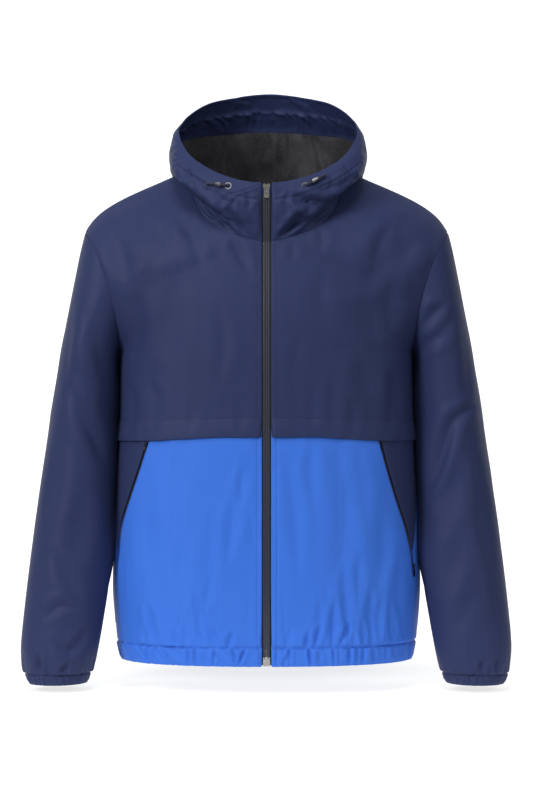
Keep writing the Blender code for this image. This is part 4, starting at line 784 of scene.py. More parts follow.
# %% Crease tables
CREASES = {
    "front_upper_left": {"front": (
        (5, 15, (192, -90), (166, -133), (138, -172)),
        (4, 22, (150, -185), (146, -215), (155, -250)),
        (3, 10, (209, -104), (196, -124), (184, -146)),
        (2, 7, (172, -85), (156, -115), (150, -140)),
        (2.2, 8, (178, -150), (170, -190), (174, -240)),
        (2.5, 11, (129, -272), (134, -300), (146, -330)),
        (1.6, 6, (93, -292), (90, -330), (92.5, -374)),
        (1.4, 6, (62, -315), (63, -345), (60, -376)),
        (1.3, 5, (116, -330), (119, -352), (117, -375)),
        (1.2, 6, (46, -240), (38, -280), (40, -330)),
        (1.3, 8, (78, -150), (74, -200), (82, -260)),
        (1.6, 5, (30, -112), (36, -122), (34, -140)),
        (1.4, 5, (70, -92), (76, -108), (75, -128)),
        (1.6, 7, (171, -290), (176, -325), (168, -368)),
    )},
    "front_upper_right": {"front": (
        (4.5, 12, (-218, -92), (-202, -132), (-190, -168)),
        (2.6, 8, (-157, -86), (-146, -104), (-133, -128)),
        (3, 7, (-102, -78), (-101, -104), (-88, -152)),
        (3.2, 6, (-51, -107), (-38, -126), (-21, -162)),
        (1.6, 6, (-118, -76), (-114, -92), (-104, -106)),
        (2, 9, (-186, -170), (-178, -220), (-184, -280)),
        (1.8, 12, (-120, -160), (-130, -230), (-122, -290)),
        (1.3, 7, (-66, -200), (-58, -250), (-66, -310)),
        (1.5, 6, (-160, -300), (-150, -335), (-156, -374)),
        (1.2, 5, (-104, -322), (-101, -350), (-106, -376)),
        (1.1, 5, (-38, -330), (-34, -352), (-38, -376)),
        (1.4, 6, (-190, -306), (-184, -340), (-188, -376)),
    )},
    "back_upper": {"back": (
        (5, 15, (192, -106), (166, -150), (138, -195)),
        (3, 18, (58, -145), (70, -220), (86, -305)),
        (2.4, 9, (208, -120), (195, -150), (190, -190)),
        (2, 8, (120, -80), (112, -110), (116, -150)),
        (1.6, 8, (150, -250), (144, -300), (152, -370)),
        (1.4, 6, (110, -320), (106, -348), (111, -376)),
        (5, 15, (-186, -112), (-172, -158), (-148, -205)),
        (3, 18, (-38, -175), (-50, -250), (-72, -335)),
        (2.2, 9, (-212, -124), (-200, -150), (-196, -200)),
        (2.2, 8, (-110, -70), (-118, -110), (-108, -160)),
        (1.6, 9, (-160, -240), (-168, -290), (-158, -365)),
        (1.3, 6, (-120, -325), (-124, -350), (-118, -376)),
        (1.4, 7, (4, -60), (-4, -100), (6, -150)),
    )},
    "front_lower_right": {"front": (
        (2.2, 5, (-32.5, -425), (-34.5, -450), (-33.5, -472)),
        (2, 6, (-44, -462), (-47, -500), (-52.5, -548)),
        (1.6, 5, (-22.5, -492), (-18, -515), (-13.5, -540)),
        (1.6, 8, (-120, -400), (-126, -470), (-118, -560)),
        (1.6, 10, (-160, -440), (-166, -500), (-158, -580)),
        (1.5, 7, (-74, -480), (-78, -560), (-70, -620)),
        (3.2, 4, (-164, -605), (-159, -632), (-153.5, -668)),
        (2.2, 3, (-168, -640), (-166, -652), (-165.5, -668)),
        (2.8, 3, (-125.5, -640), (-124, -654), (-122.5, -668)),
        (2, 3, (-123, -628), (-116, -646), (-113, -664)),
        (2.6, 3, (-111, -630), (-110, -650), (-109.5, -668)),
        (3, 4, (-99, -590), (-93, -612), (-85, -640)),
        (3, 3, (-95, -620), (-90, -646), (-84, -664)),
        (2.6, 4, (-88, -618), (-79, -640), (-70, -664)),
        (2.6, 3, (-72, -640), (-68, -654), (-66, -668)),
        (3, 3, (-47, -644), (-49, -656), (-50.5, -668)),
        (1.6, 4, (-78, -575), (-82, -600), (-86, -625)),
        (1.8, 8, (-142, -560), (-144, -600), (-146, -645)),
        (1.6, 6, (-118, -520), (-116, -560), (-112, -610)),
    )},
    "front_lower_left": {"front": (
        (2.4, 7, (27, -410), (38.5, -478), (43, -575)),
        (3, 11, (90, -380), (108, -462), (98, -580)),
        (1.8, 8, (124, -395), (132, -450), (140, -520)),
        (1.4, 6, (62, -385), (60, -430), (66, -480)),
        (1.8, 9, (152, -470), (160, -530), (152, -600)),
        (1.6, 6, (184, -540), (180, -590), (184, -640)),
        (3.4, 3, (74, -636), (69, -650), (66, -668)),
        (2.6, 3, (57, -644), (55, -656), (57, -668)),
        (3.2, 4, (93, -600), (90, -632), (90.5, -664)),
        (3, 6, (106, -560), (108, -600), (110, -645)),
        (3.4, 3, (112, -636), (104, -652), (98.5, -668)),
        (2.6, 3, (110, -630), (110.5, -648), (111, -664)),
        (2.6, 3, (129, -630), (131, -648), (132, -666)),
        (2.2, 3, (119, -645), (118, -656), (118.5, -668)),
        (3, 5, (142, -590), (142, -625), (142.5, -664)),
        (2.2, 4, (156, -600), (154, -630), (153, -664)),
        (2, 4, (168, -610), (170, -636), (171, -664)),
        (1.8, 4, (72, -600), (73, -625), (70, -645)),
        (1.4, 3, (32, -640), (31, -652), (31.5, -666)),
        (1.6, 5, (126, -540), (124, -580), (126, -620)),
    )},
    "back_lower": {"back": (
        (2, 9, (60, -390), (66, -470), (58, -580)),
        (2.2, 10, (120, -400), (112, -480), (120, -570)),
        (1.6, 7, (164, -420), (170, -500), (164, -590)),
        (2, 9, (-50, -385), (-44, -470), (-52, -560)),
        (2.4, 11, (-110, -420), (-120, -510), (-110, -610)),
        (1.8, 8, (-168, -400), (-162, -480), (-170, -570)),
        (1.6, 6, (6, -400), (2, -460), (8, -520)),
        (1.8, 5, (90, -605), (98, -635), (110, -664)),
        (1.8, 5, (-80, -610), (-88, -636), (-98, -664)),
    )},
    "sleeve_left": {"front": (
        (6, 7, (296, -334), (260.4, -356.7), (247.3, -386.4), (234.3, -431.1), (219, -465)),
        (5, 7, (245.5, -196.7), (230, -213), (209, -237)),
        (3.5, 8, (256.6, -211.8), (240, -236), (217, -263)),
        (4, 13, (268, -510), (256, -560), (240, -608)),
        (3, 12, (259, -415), (256, -455), (248, -505)),
        (2.4, 10, (288, -560), (276, -610), (256, -650)),
        (1.8, 9, (292, -420), (296, -490), (306, -560)),
        (1.8, 8, (280, -240), (282, -285), (274, -325)),
        (4, 3, (296, -690), (294, -698), (295, -708)),
        (3.6, 3, (319, -684), (315, -696), (314, -708)),
    ), "back": (
        (6, 11, (296, -340), (262, -372), (232, -424)),
        (5, 11, (238, -466), (268, -490), (302, -522)),
        (3, 9, (250, -190), (232, -216), (212, -250)),
        (3.2, 9, (250, -560), (280, -588), (316, -604)),
        (2.6, 8, (306, -250), (290, -300), (296, -330)),
    ), "left": (
        (1.9, 10, (34, -330), (48, -346), (66, -340)),
        (1.8, 9, (26, -436), (40, -452), (56, -470)),
        (1.8, 10, (56, -200), (36, -250), (40, -300)),
        (1.8, 9, (0, -560), (14, -574), (28, -566)),
        (1.6, 8, (-12, -636), (0, -650), (12, -644)),
    )},
    "sleeve_right": {"front": (
        (4, 10, (-244.3, -216.1), (-231.8, -258.6), (-225.1, -300.8)),
        (4.5, 8, (-269.8, -317.5), (-252.7, -352.1), (-237, -385.5), (-225.1, -416)),
        (3, 12, (-261.3, -453.4), (-257, -488.2), (-263.4, -529.8), (-267.6, -568.7)),
        (4, 7, (-291, -539.5), (-276.2, -568.7), (-257, -597.8)),
        (4, 5.4, (-301.6, -628.3), (-284.7, -613.1), (-257, -617.2)),
        (4, 6, (-288.8, -661.6), (-267.6, -674.1), (-246.3, -645)),
        (2, 9, (-286, -390), (-290, -450), (-300, -520)),
        (1.8, 8, (-274, -200), (-280, -265), (-276, -310)),
        (5, 3, (-315, -681), (-312, -695), (-313, -708)),
        (4, 3, (-272, -693), (-277, -701), (-285, -708)),
    ), "back": (
        (6, 11, (-290, -350), (-258, -386), (-236, -436)),
        (5, 11, (-240, -534), (-270, -560), (-304, -592)),
        (3, 9, (-250, -200), (-232, -230), (-214, -262)),
        (3, 9, (-246, -450), (-276, -470), (-310, -470)),
        (2.4, 8, (-300, -250), (-288, -290), (-296, -330)),
    ), "right": (
        (1.9, 10, (36, -346), (50, -360), (66, -350)),
        (1.8, 9, (24, -458), (40, -450), (58, -464)),
        (1.8, 10, (58, -206), (38, -256), (42, -304)),
        (1.8, 9, (0, -580), (14, -570), (28, -584)),
        (1.6, 8, (-12, -646), (0, -638), (12, -650)),
    )},
    "hem_band": {"front": (
        (2.2, 2, (-164, -664), (-164.6, -678), (-164, -694)),
        (2, 2, (-154, -662), (-153.7, -678), (-154, -694)),
        (1.4, 2, (-136, -664), (-135, -678), (-135.5, -694)),
        (2.2, 2, (-109, -662), (-106, -678), (-107, -694)),
        (2.4, 2, (-98.5, -662), (-96.5, -678), (-95, -694)),
        (1.4, 3, (-83, -664), (-82, -678), (-82.5, -694)),
        (2.2, 2, (-70, -662), (-70.7, -678), (-72, -694)),
        (2.8, 2, (-50, -660), (-45, -672), (-40, -694)),
        (3, 2, (-26, -660), (-32, -676), (-39, -694)),
        (2.4, 2, (13.2, -662), (14, -678), (13, -694)),
        (3.2, 2, (31.8, -660), (31.2, -678), (31.6, -694)),
        (1.8, 2, (24, -694), (26, -684), (28, -674)),
        (3, 2, (56.5, -660), (59, -676), (61, -694)),
        (1.4, 3, (74, -664), (73, -678), (73.5, -694)),
        (2.6, 2, (90.5, -660), (91.5, -676), (93, -694)),
        (2, 2, (97, -664), (98, -678), (98.5, -694)),
        (2.4, 2, (113.5, -662), (113, -678), (112.5, -694)),
        (2.2, 2, (123.5, -662), (123, -678), (122.5, -694)),
        (2.6, 2, (132, -662), (131.5, -678), (132, -694)),
        (2.4, 2, (146.5, -662), (146, -678), (146.5, -694)),
        (1.8, 2, (164, -664), (163.5, -678), (164, -694)),
    )},
    "hood_side_right": {"front": (
        (8.5, 5, (-132.5, -28.1), (-115, -40), (-95, -56), (-64.5, -72.3)),
        (9, 5.4, (-90.2, -62.2), (-76.5, -73.1), (-62.8, -79.9)),
        (6.5, 4, (-66, -80), (-54, -92), (-39, -108)),
        (4, 4, (-52, -70), (-40, -86), (-26, -103)),
        (4, 4, (-111, -11), (-102, -28), (-90.1, -49)),
        (3, 4, (-96, -24), (-84, -38), (-66, -48)),
        (3, 4, (-70, -42), (-62, -54), (-48, -60)),
        (2.6, 3, (-42, -56), (-48, -66), (-45, -80)),
        (2.4, 3, (-30, -44), (-24, -56), (-26, -72)),
        (2.4, 4, (-106, -2), (-112, -18), (-118, -26)),
    ), "right": (
        (2.4, 8, (-30, 20), (10, 0), (60, -10)),
        (2.4, 8, (10, 60), (50, 40), (100, 10)),
    ), "back": (
        (2.6, 9, (-100, 50), (-95, 0), (-80, -50)),
    )},
    "hood_side_left": {"front": (
        (8.5, 5, (137.7, -29.4), (109.3, -51.3), (84.7, -57)),
        (9, 5.4, (34, -52), (56, -59), (80, -58)),
        (7.5, 4, (60, -66), (40, -85), (26, -100.5), (18, -109)),
        (3, 4, (86, -64), (74, -76), (58, -86)),
        (3, 4, (118, -18), (104, -33), (86, -40)),
        (2.6, 4, (96, -30), (80, -42), (62, -46)),
        (2.4, 3, (30, -46), (26, -60), (30, -76)),
        (2.2, 3, (46, -66), (42, -76), (34, -84)),
        (2.4, 4, (108, -2), (114, -18), (124, -26)),
    ), "left": (
        (2.4, 8, (-30, 16), (14, -2), (64, -6)),
        (2.4, 8, (4, 56), (50, 36), (104, 12)),
    ), "back": (
        (2.6, 9, (100, 44), (93, -4), (84, -56)),
    )},
    "hood_centre": {"back": (
        (2.6, 9, (-50, 70), (0, 56), (48, 72)),
        (3.2, 10, (-55, -10), (0, -24), (55, -6)),
        (2.4, 8, (-40, -60), (4, -74), (46, -58)),
    )},
}
print("creases:", sum(len(rows) for views in CREASES.values() for rows in views.values()))

# %% [markdown]
# ### Upper fronts and upper back
#
# The navy panels run from the loose hemmed edge at the waist up over the shoulders. The
# front edges are turned under beside the zip and topstitched. Each half is one grid, so a
# crease can cross the panel without a break.

# %% Upper panels
UPPER_LOW = YOKE_Z - ARMPIT_Z
HEM_STITCH = 0.025
ZIP_STITCH = 0.0065
SEAM_STITCH = 0.0045
SHOULDER_TIP = (0.244, 0.005, -0.082)
ARMHOLE_STITCHED_FROM = 0.34            # as a share of the armhole, up from the armpit


def upper_grid(face, side):
    tall, wide = (0.42, 0.215) if face == "front" else (0.32, 0.170)
    heights = np.linspace(UPPER_LOW, UPPER_SPAN, steps_for(tall) + 1)
    across = np.linspace(0, 1, steps_for(wide) + 1)
    return np.array([torso(face, side, h, across) for h in heights])


def shoulder(points):
    """The cloth stands a little fuller round the point of the shoulder."""
    x, y, z = np.moveaxis(points, -1, 0)
    away = np.stack([np.abs(x), y, z], axis=-1) - SHOULDER_TIP
    return 2.4 * MM * bell(np.linalg.norm(away, axis=-1), 0.048)


def beside_zip(lift, points, zip_edge, pucker, cell, groove):
    """The edge beside the zip puckers, dips at its stitching and lies flat at its fold."""
    waves = noise(points, (0.02, 0.02, cell), 8.0) * pucker * MM
    lift = lift + waves * bell(zip_edge - ZIP_STITCH, 0.006)
    lift = lift - groove * MM * bell(zip_edge - ZIP_STITCH, 0.0018)
    return lift * ease(zip_edge / 0.003 + 0.25)


def upper_lift(face, name, grid, normals):
    """How far the cloth of an upper panel stands in or out."""
    seams = np.minimum(run_from(grid, "last"), run_from(grid, "high"))
    to_edge = run_from(grid, "low")
    if face == "front":
        on_neck = grid[..., 2] > MIDDLES[face][-1][0]
    else:
        rows = np.linspace(UPPER_LOW, UPPER_SPAN, len(grid)) / UPPER_SPAN
        on_neck = (rows > NECK_SHARE["back"])[:, None]
    seams = np.minimum(seams, np.where(on_neck, run_from(grid, "first"), 1.0))
    inside = ease(seams / 0.014)
    lift = creases(grid, normals, name) * inside
    lift += uneven(grid, 0.55 * MM, 0.034, 0.26) * inside
    lift += at_seam(seams, grid) + shoulder(grid)
    flow = noise(grid, (0.014, 0.02, 0.30), 3.0) * 0.9 * MM
    lift += flow * bell(to_edge, 0.05) * ease(seams / 0.01)
    lift -= 0.5 * MM * bell(to_edge - HEM_STITCH, 0.0022)
    lift += YOKE_FLARE * ease((YOKE_Z + FLARE_RUN - grid[..., 2]) / FLARE_RUN)
    if face == "front":
        along_zip = grid[..., 2] < MIDDLES[face][-1][0] + 0.01
        zip_edge = np.where(along_zip, run_from(grid, "first"), 1.0)
        lift = beside_zip(lift, grid, zip_edge, 0.30, 0.009, 0.3)
    return lift


def hangs(points):
    """The loose lower edge hangs lower towards the side seams, and is never quite level."""
    lowered = points.copy()
    near_edge = ease((YOKE_Z + 0.060 - points[..., 2]) / 0.060)
    drop = 6.0 * MM * ease((np.abs(points[..., 0]) - 0.05) / 0.14)
    drop = drop + 0.7 * MM * noise(points, (0.035, 0.2, 0.2), 5.0)
    lowered[..., 2] -= near_edge * drop
    return lowered


for side, word in SIDES.items():
    piece = Piece(f"front_upper_{word}", "navy_shell")
    form = upper_grid("front", side)
    piece.cut(form)
    normals = normals_of(form, side)
    shape = hangs(form + normals * upper_lift("front", piece.name, form, normals)[..., None])
    normals = normals_of(shape, side)
    piece.add(shape, side)
    piece.turn(shape, normals, "low", side, reach=HEM_STITCH)
    rows_to_neck = int(np.searchsorted(form[:, 0, 2], MIDDLES["front"][-1][0])) + 1
    piece.turn(shape[:rows_to_neck], normals[:rows_to_neck], "first", side, reach=0.010)
    piece.finish(held="hung")
    stitch("navy", shape, normals, "low", HEM_STITCH)
    stitch("navy", shape[:rows_to_neck], normals[:rows_to_neck], "first", ZIP_STITCH)
    stitch("navy", shape[rows_to_neck:], normals[rows_to_neck:], "first", SEAM_STITCH)
    stitch("navy", shape, normals, "last", SEAM_STITCH, ARMHOLE_STITCHED_FROM)

piece = Piece("back_upper", "navy_shell")
for side in SIDES:
    form = upper_grid("back", side)
    piece.cut(form)
    normals = normals_of(form, -side)
    below_neck = np.linspace(UPPER_LOW, UPPER_SPAN, len(form)) <= NECK_SHARE["back"] * UPPER_SPAN
    normals[below_neck, 0, 0] = 0
    normals = unit(normals)
    shape = hangs(form + normals * upper_lift("back", piece.name, form, normals)[..., None])
    normals = normals_of(shape, -side)
    piece.add(shape, -side)
    piece.turn(shape, normals, "low", -side, reach=HEM_STITCH)
    stitch("navy", shape, normals, "low", HEM_STITCH)
    stitch("navy", shape, normals, "last", SEAM_STITCH, ARMHOLE_STITCHED_FROM)
piece.finish(held="hung", lengths=(2 * piece.across, piece.along))

# %% [markdown]
# ### Lower fronts, pocket wedges and lower back
#
# The blue fronts are cut in two by the pocket slit: the part beside the zip, and a narrow
# strip that runs up behind the navy wedge. The slit's lips are turned under, and it closes
# to a point below the wedge. Where the panels meet the hem band the elastic gathers them,
# so creases of uneven length fan upwards. Their widths are drawn at random from a fixed
# seed, because gathers that repeat look machine made.

# %% Lower panels
LOWER_SPAN = LOWER_TOP_Z - HEM_SEAM_Z
HEM_PITCH = 0.021


def lower_heights(top=LOWER_TOP_Z):
    """Heights from the hem seam to the top, with one right at the slit's lower end."""
    below = np.linspace(HEM_SEAM_Z, SLIT_END_Z, steps_for(SLIT_END_Z - HEM_SEAM_Z) + 1)
    above = np.linspace(SLIT_END_Z, top, steps_for(top - SLIT_END_Z) + 1)
    return np.concatenate([below, above[1:]])


def front_rows(side, heights, count, ends):
    """Rows of points on the front, each running between the two ends for its height."""
    rows = []
    for z in heights:
        near, far = ends(z)
        row = near + (far - near) * np.linspace(0, 1, count + 1)
        rows.append(torso("front", side, z - ARMPIT_Z, row))
    return np.array(rows)


def hem_gathers(grid, seed):
    """Gathers over the elastic hem: short ones at every pleat, and fewer that run far up."""
    away, run = run_from(grid, "low"), run_from(grid, "first")
    near = gathers(run, away, HEM_PITCH, 1.7 * MM, 0.016, seed)
    far = gathers(run, away, 2.3 * HEM_PITCH, 1.8 * MM, 0.050, seed + 1)
    return (near + far) * ease(away / 0.004 + 0.12)


def lower_lift(name, grid, normals, seams, seed, apart=1.0):
    """How far the cloth of a lower panel stands in or out, given its distance from seams.

    apart is 0 where two halves of one piece meet, so that their gathers agree there.
    """
    sewn = ease(run_from(grid, "low") / 0.004)
    lift = creases(grid, normals, name) * ease(seams / 0.010) * sewn
    lift += uneven(grid, 0.9 * MM, shift=4.0) * ease(seams / 0.014) * sewn
    lift += hem_gathers(grid, seed) * ease(seams / 0.006) * sewn * apart
    return lift + at_seam(np.minimum(seams, run_from(grid, "low")), grid, seed=4)


for side, word in SIDES.items():
    piece = Piece(f"front_lower_{word}", "blue_shell")
    form = front_rows(side, lower_heights(), int(1.9 * steps_for(0.21)),
                      lambda z: (0, pocket_across(side, z, -slit_half(z))))
    piece.cut(form)
    normals = normals_of(form, side)
    lip_edge = np.where(form[..., 2] < SLIT_END_Z, 1.0, run_from(form, "last"))
    lift = lower_lift(piece.name, form, normals, lip_edge, 20 + side)
    lift = beside_zip(lift, form, run_from(form, "first"), 0.55, 0.010, 0.35)
    shape = form + normals * lift[..., None]
    out = normals_of(shape, side)
    piece.add(shape, side)
    piece.turn(shape, out, "first", side, reach=0.010)
    first = int(np.searchsorted(lower_heights(), SLIT_END_Z + 1e-6))
    lips = 0.6 * MM * ease(np.arange(len(shape) - first) * STEP / 0.02)
    piece.turn(shape[first:], out[first:], "last", side, radius=lips, reach=0.006)
    stitch("blue", shape, out, "first", ZIP_STITCH)
    stitch("blue", shape[first:], out[first:], "last", 0.0016)
    slit_rows = lift[:, -1]

    strip_heights = lower_heights(WEDGE_SIDE_Z)
    form = front_rows(side, strip_heights, steps_for(0.030),
                      lambda z: (pocket_across(side, z, slit_half(z)) if z < WEDGE_APEX_Z
                                 else wedge_across(side, z), 1))
    piece.cut(form)
    normals = normals_of(form, side)
    slit_side = np.where(form[..., 2] < SLIT_END_Z, 1.0, run_from(form, "first"))
    seams = np.minimum(run_from(form, "last"), slit_side)
    lift = lower_lift(piece.name, form, normals, seams, 30 + side)
    below = strip_heights <= SLIT_END_Z + 1e-6
    blend = bell(run_from(form, "first"), 0.006)
    carried = np.where(below, np.interp(strip_heights, lower_heights(), slit_rows), 0)[:, None]
    lift = lift * (1 - blend) + carried * blend
    shape = form + normals * lift[..., None]
    piece.add(shape, side)
    piece.finish(held="hung", lengths=(0.25, LOWER_SPAN + 0.01))

    piece = Piece(f"pocket_wedge_{word}", "navy_shell")
    heights = np.linspace(WEDGE_APEX_Z, LOWER_TOP_Z, steps_for(LOWER_TOP_Z - WEDGE_APEX_Z) + 1)
    form = front_rows(side, heights, steps_for(0.066),
                      lambda z: (pocket_across(side, z, SLIT_HALF), wedge_across(side, z)))
    piece.cut(form)
    normals = normals_of(form, side)
    seams = np.minimum(run_from(form, "first"), run_from(form, "last"))
    lift = uneven(form, 0.6 * MM, shift=7.0) * ease(seams / 0.010) + at_seam(seams, form, seed=3)
    shape = form + normals * lift[..., None]
    out = normals_of(shape, side)
    piece.add(shape, side)
    piece.turn(shape[2:], out[2:], "first", side, radius=0.6 * MM, reach=0.006)
    piece.finish(held="hung", lengths=(0.08, 0.18))
    stitch("navy", shape[4:], out[4:], "first", 0.0020)

piece = Piece("back_lower", "blue_shell")
for side in SIDES:
    columns = np.linspace(0, 1, steps_for(0.18) + 1)
    form = np.array([torso("back", side, z - ARMPIT_Z, columns) for z in lower_heights()])
    piece.cut(form)
    normals = normals_of(form, -side)
    normals[:, 0, 0] = 0
    normals = unit(normals)
    centre = ease(run_from(form, "first") / 0.02)
    lift = lower_lift(piece.name, form, normals, run_from(form, "last"), 40 + side, centre)
    shape = form + normals * lift[..., None]
    piece.add(shape, -side)
piece.finish(held="hung", lengths=(2 * piece.across, piece.along))

# %% [markdown]
# ### Hem band and cuffs
#
# Both are casings round an elastic. The cloth is folded over it, so the lower edge is a
# fold, and it stands in narrow upright creases with soft puffs between them. Two sets of
# gathers, one broad and one fine, come closer to that than a single even wave.

# %% Hem band
piece = Piece("hem_band", "blue_shell")
heights = np.linspace(HEM_Z, HEM_SEAM_Z, steps_for(0.030) + 1)
columns = np.linspace(0, 1, int(2.4 * steps_for(0.24)) + 1)
quarters = (("front", 1, columns), ("back", 1, columns[::-1]), ("back", -1, columns),
            ("front", -1, columns[::-1]))
form = np.array([np.concatenate([torso(face, side, z - ARMPIT_Z, places)[(0 if n == 0 else 1):]
                                 for n, (face, side, places) in enumerate(quarters)])
                 for z in heights])
piece.cut(form)
normals = normals_of(form)
run, away = run_from(form, "first"), run_from(form, "high")
ends = np.minimum(run, run_from(form, "last"))
puffs = gathers(run, away * 0.35, HEM_PITCH, 2.2 * MM, 0.05, 50)
puffs += gathers(run, away * 0.2, 0.45 * HEM_PITCH, 0.5 * MM, 0.08, 51)
hold = ease(away / 0.0035) * (0.45 + 0.55 * ease(run_from(form, "low") / 0.006))
lift = puffs * hold * ease(ends / 0.006 + 0.1) + at_seam(away, form, 0.3 * MM, 0.2 * MM)
lift += creases(form, normals, piece.name) * ease(away / 0.003)
shape = form + normals * lift[..., None]
out = normals_of(shape)
piece.add(shape)
piece.turn(shape, out, "low", radius=1.0 * MM, reach=0.020)
piece.turn(shape, out, "high", radius=0.35 * MM, reach=0.004)
piece.turn(shape, out, "first", radius=0.8 * MM, reach=0.008)
piece.turn(shape, out, "last", radius=0.8 * MM, reach=0.008)
piece.finish(held="gathered", layers=2)
stitch("blue", shape, out, "high", 0.0018)

# %% [markdown]
# ### Sleeves
#
# A sleeve is cut as one piece and gathered into its cuff. It could be a tube swept along
# the arm, but then its two outlines would follow from its thickness. Rings read from a
# table keep the inner and the outer outline apart. A long fold runs down the inner side,
# where the cloth lies against the body.

# %% Sleeves and cuffs
WRIST_PITCH = 0.0135
RINGS = len(SLEEVE) - 1
CUFF_END_RING = 1.75
SLEEVE_SLANT = 0.40                     # how far the soft folds lean out of the upright


def sleeve_lengths():
    """Ring numbers spaced evenly along the sleeve, from the cuff seam up."""
    fine = np.linspace(0, RINGS, 301)
    spine = np.array([ring_of(SLEEVE, 1, r, [90, 180, 270]).mean(axis=0) for r in fine])
    run = run_along(spine)
    return np.interp(np.linspace(run[-1], 0, steps_for(run[-1]) + 1), run, fine)


def ring_gathers(grid, away, pitch, height, reach, seed):
    """Gathers round a ring that meet themselves."""
    run = run_from(grid, "first")
    total = run[:, -1:]
    share = run / np.maximum(total, 1e-9)
    girth = float(total.max())
    one = gathers(share * girth, away, pitch, height, reach, seed)
    other = gathers((share + 0.5) % 1 * girth, away, pitch, height, reach, seed + 7)
    weight = ease(np.abs(share - 0.5) * 2 * 5 - 3.2)
    return one * (1 - weight) + other * weight


INNER_FOLD = (
    # z      turn   height
    (-0.260, -8, 0.0008), (-0.266, -8, 0.0021), (-0.275, -8, 0.0029), (-0.288, -9, 0.0032),
    (-0.316, -10, 0.0031), (-0.330, -10, 0.0034), (-0.346, -8, 0.0040),
    (-0.365, -8, 0.0036), (-0.387, -10, 0.0038), (-0.410, -12, 0.0031), (-0.432, -15, 0.0034),
    (-0.455, -17, 0.0039), (-0.480, -20, 0.0045), (-0.505, -10, 0.0047), (-0.528, 0, 0.0043),
    (-0.553, 3, 0.0034), (-0.590, 0, 0.0000),
)


def inner_fold(grid, turns):
    """A long fold on the sleeve's inner side that lies against the body."""
    knots = [-row[0] for row in INNER_FOLD]
    centre, height = np.moveaxis(smooth(knots, [row[1:] for row in INNER_FOLD],
                                        -grid[..., 2].ravel()).reshape(*grid.shape[:2], 2), 2, 0)
    away = (turns[None, :] - centre + 180) % 360 - 180
    inside = (grid[..., 2] > -0.590) & (grid[..., 2] < -0.260)
    return np.maximum(height, 0) * bell(away, 20) * inside


def drawn_up(points):
    """The elastic draws the wrist a few millimetres up the arm."""
    raised = points.copy()
    raised[..., 2] += 0.0042 * ease((-0.640 - points[..., 2]) / 0.070)
    return raised


for side, word in SIDES.items():
    turns = np.linspace(0, 360, steps_for(0.30) + 1)
    solids = [f"sleeve_{word}_upper", f"sleeve_{word}_lower"]
    piece = Piece(f"sleeve_{word}", "navy_shell", solids)
    form = np.array([ring_of(SLEEVE, side, ring, turns) for ring in sleeve_lengths()])
    piece.cut(form)
    normals = normals_of(form, side, closed=True)
    wrist, armhole = run_from(form, "low"), run_from(form, "high")
    lift = creases(form, normals, piece.name) * ease(armhole / 0.018) * ease(wrist / 0.004)
    slanted = form.copy()
    slanted[..., 0] += form[..., 2] * SLEEVE_SLANT * side
    folds = uneven(slanted, 0.7 * MM, 0.034, 0.26, shift=13.0 + side)
    lift += folds * ease(armhole / 0.016) * ease(wrist / 0.012)
    lift += inner_fold(form, turns)
    puffs = ring_gathers(form, wrist, WRIST_PITCH, 2.4 * MM, 0.013, 60 + side)
    puffs += ring_gathers(form, wrist, 2.2 * WRIST_PITCH, 1.8 * MM, 0.035, 70 + side)
    lift += puffs * ease(wrist / 0.004 + 0.12) + at_seam(np.minimum(armhole, wrist), form)
    lift += shoulder(form)
    shape = drawn_up(form + normals * lift[..., None])
    out = normals_of(shape, side, closed=True)
    piece.add(shape, side)
    piece.finish(held="hung")

    piece = Piece(f"cuff_{word}", "navy_shell")
    turns = np.linspace(0, 360, 2 * steps_for(0.24) + 1)
    cuff_rings = np.linspace(CUFF_END_RING, 0, steps_for(0.020) + 1)
    form = np.array([ring_of(CUFF, side, ring, turns) for ring in cuff_rings])
    piece.cut(form)
    normals = normals_of(form, side, closed=True)
    away, low = run_from(form, "high"), run_from(form, "low")
    puffs = ring_gathers(form, away * 0.3, WRIST_PITCH, 1.2 * MM, 0.05, 60 + side)
    puffs += ring_gathers(form, away * 0.3, 0.45 * WRIST_PITCH, 1.7 * MM, 0.05, 66 + side)
    hold = ease(away / 0.003 + 0.05) * (0.4 + 0.6 * ease(low / 0.005))
    shape = drawn_up(form + normals * (puffs * hold)[..., None])
    out = normals_of(shape, side, closed=True)
    piece.add(shape, side)
    piece.turn(shape, out, "low", side, radius=0.9 * MM, reach=0.014)
    piece.finish(held="gathered", layers=2)
    stitch("navy", shape, out, "high", 0.0016)

# %% [markdown]
# ### Hood
#
# Three panels, two sides and a centre strip, stand round the neck and slump over the
# shoulders. The face edge is a tunnel for the cord: it is turned under, stitched down and
# puckered where the cord draws it in. One surface carries all three panels, read at an
# angle round the neck and a height up to the face edge, so their seams meet by themselves.

# %% Hood
TUNNEL = 0.023
RIM_RADIUS = 1.2 * MM
HOOD_REACH = 0.145                      # about how far its cloth is from the upright axis


def hood_grid(angles, knots):
    """A grid over signed angles. Knots is a list, or a function of the angle."""
    columns = [hood(angle, knots(angle) if callable(knots) else knots) for angle in angles]
    return np.swapaxes(np.array(columns), 0, 1)


def angles_between(start, end):
    """Signed angles round the hood, at the cloth's spacing."""
    count = max(3, steps_for(radians(abs(end - start)) * HOOD_REACH))
    return [a if a <= 180 else a - 360 for a in np.linspace(start, end, count + 1)]


def tunnel_lift(grid, seed):
    """The cord tunnel at the face edge: a soft roll, pinched along its stitching."""
    rim, run = run_from(grid, "high"), run_from(grid, "first")
    roll = 0.8 * MM * np.sin(pi * np.clip(rim / TUNNEL, 0, 1)) ** 0.8
    pinch = gathers(run, np.abs(rim - TUNNEL), 0.012, 1.0 * MM, 0.012, seed)
    groove = -0.8 * MM * bell(rim - TUNNEL, 0.0022)
    return roll + pinch * ease(rim / 0.006) + groove


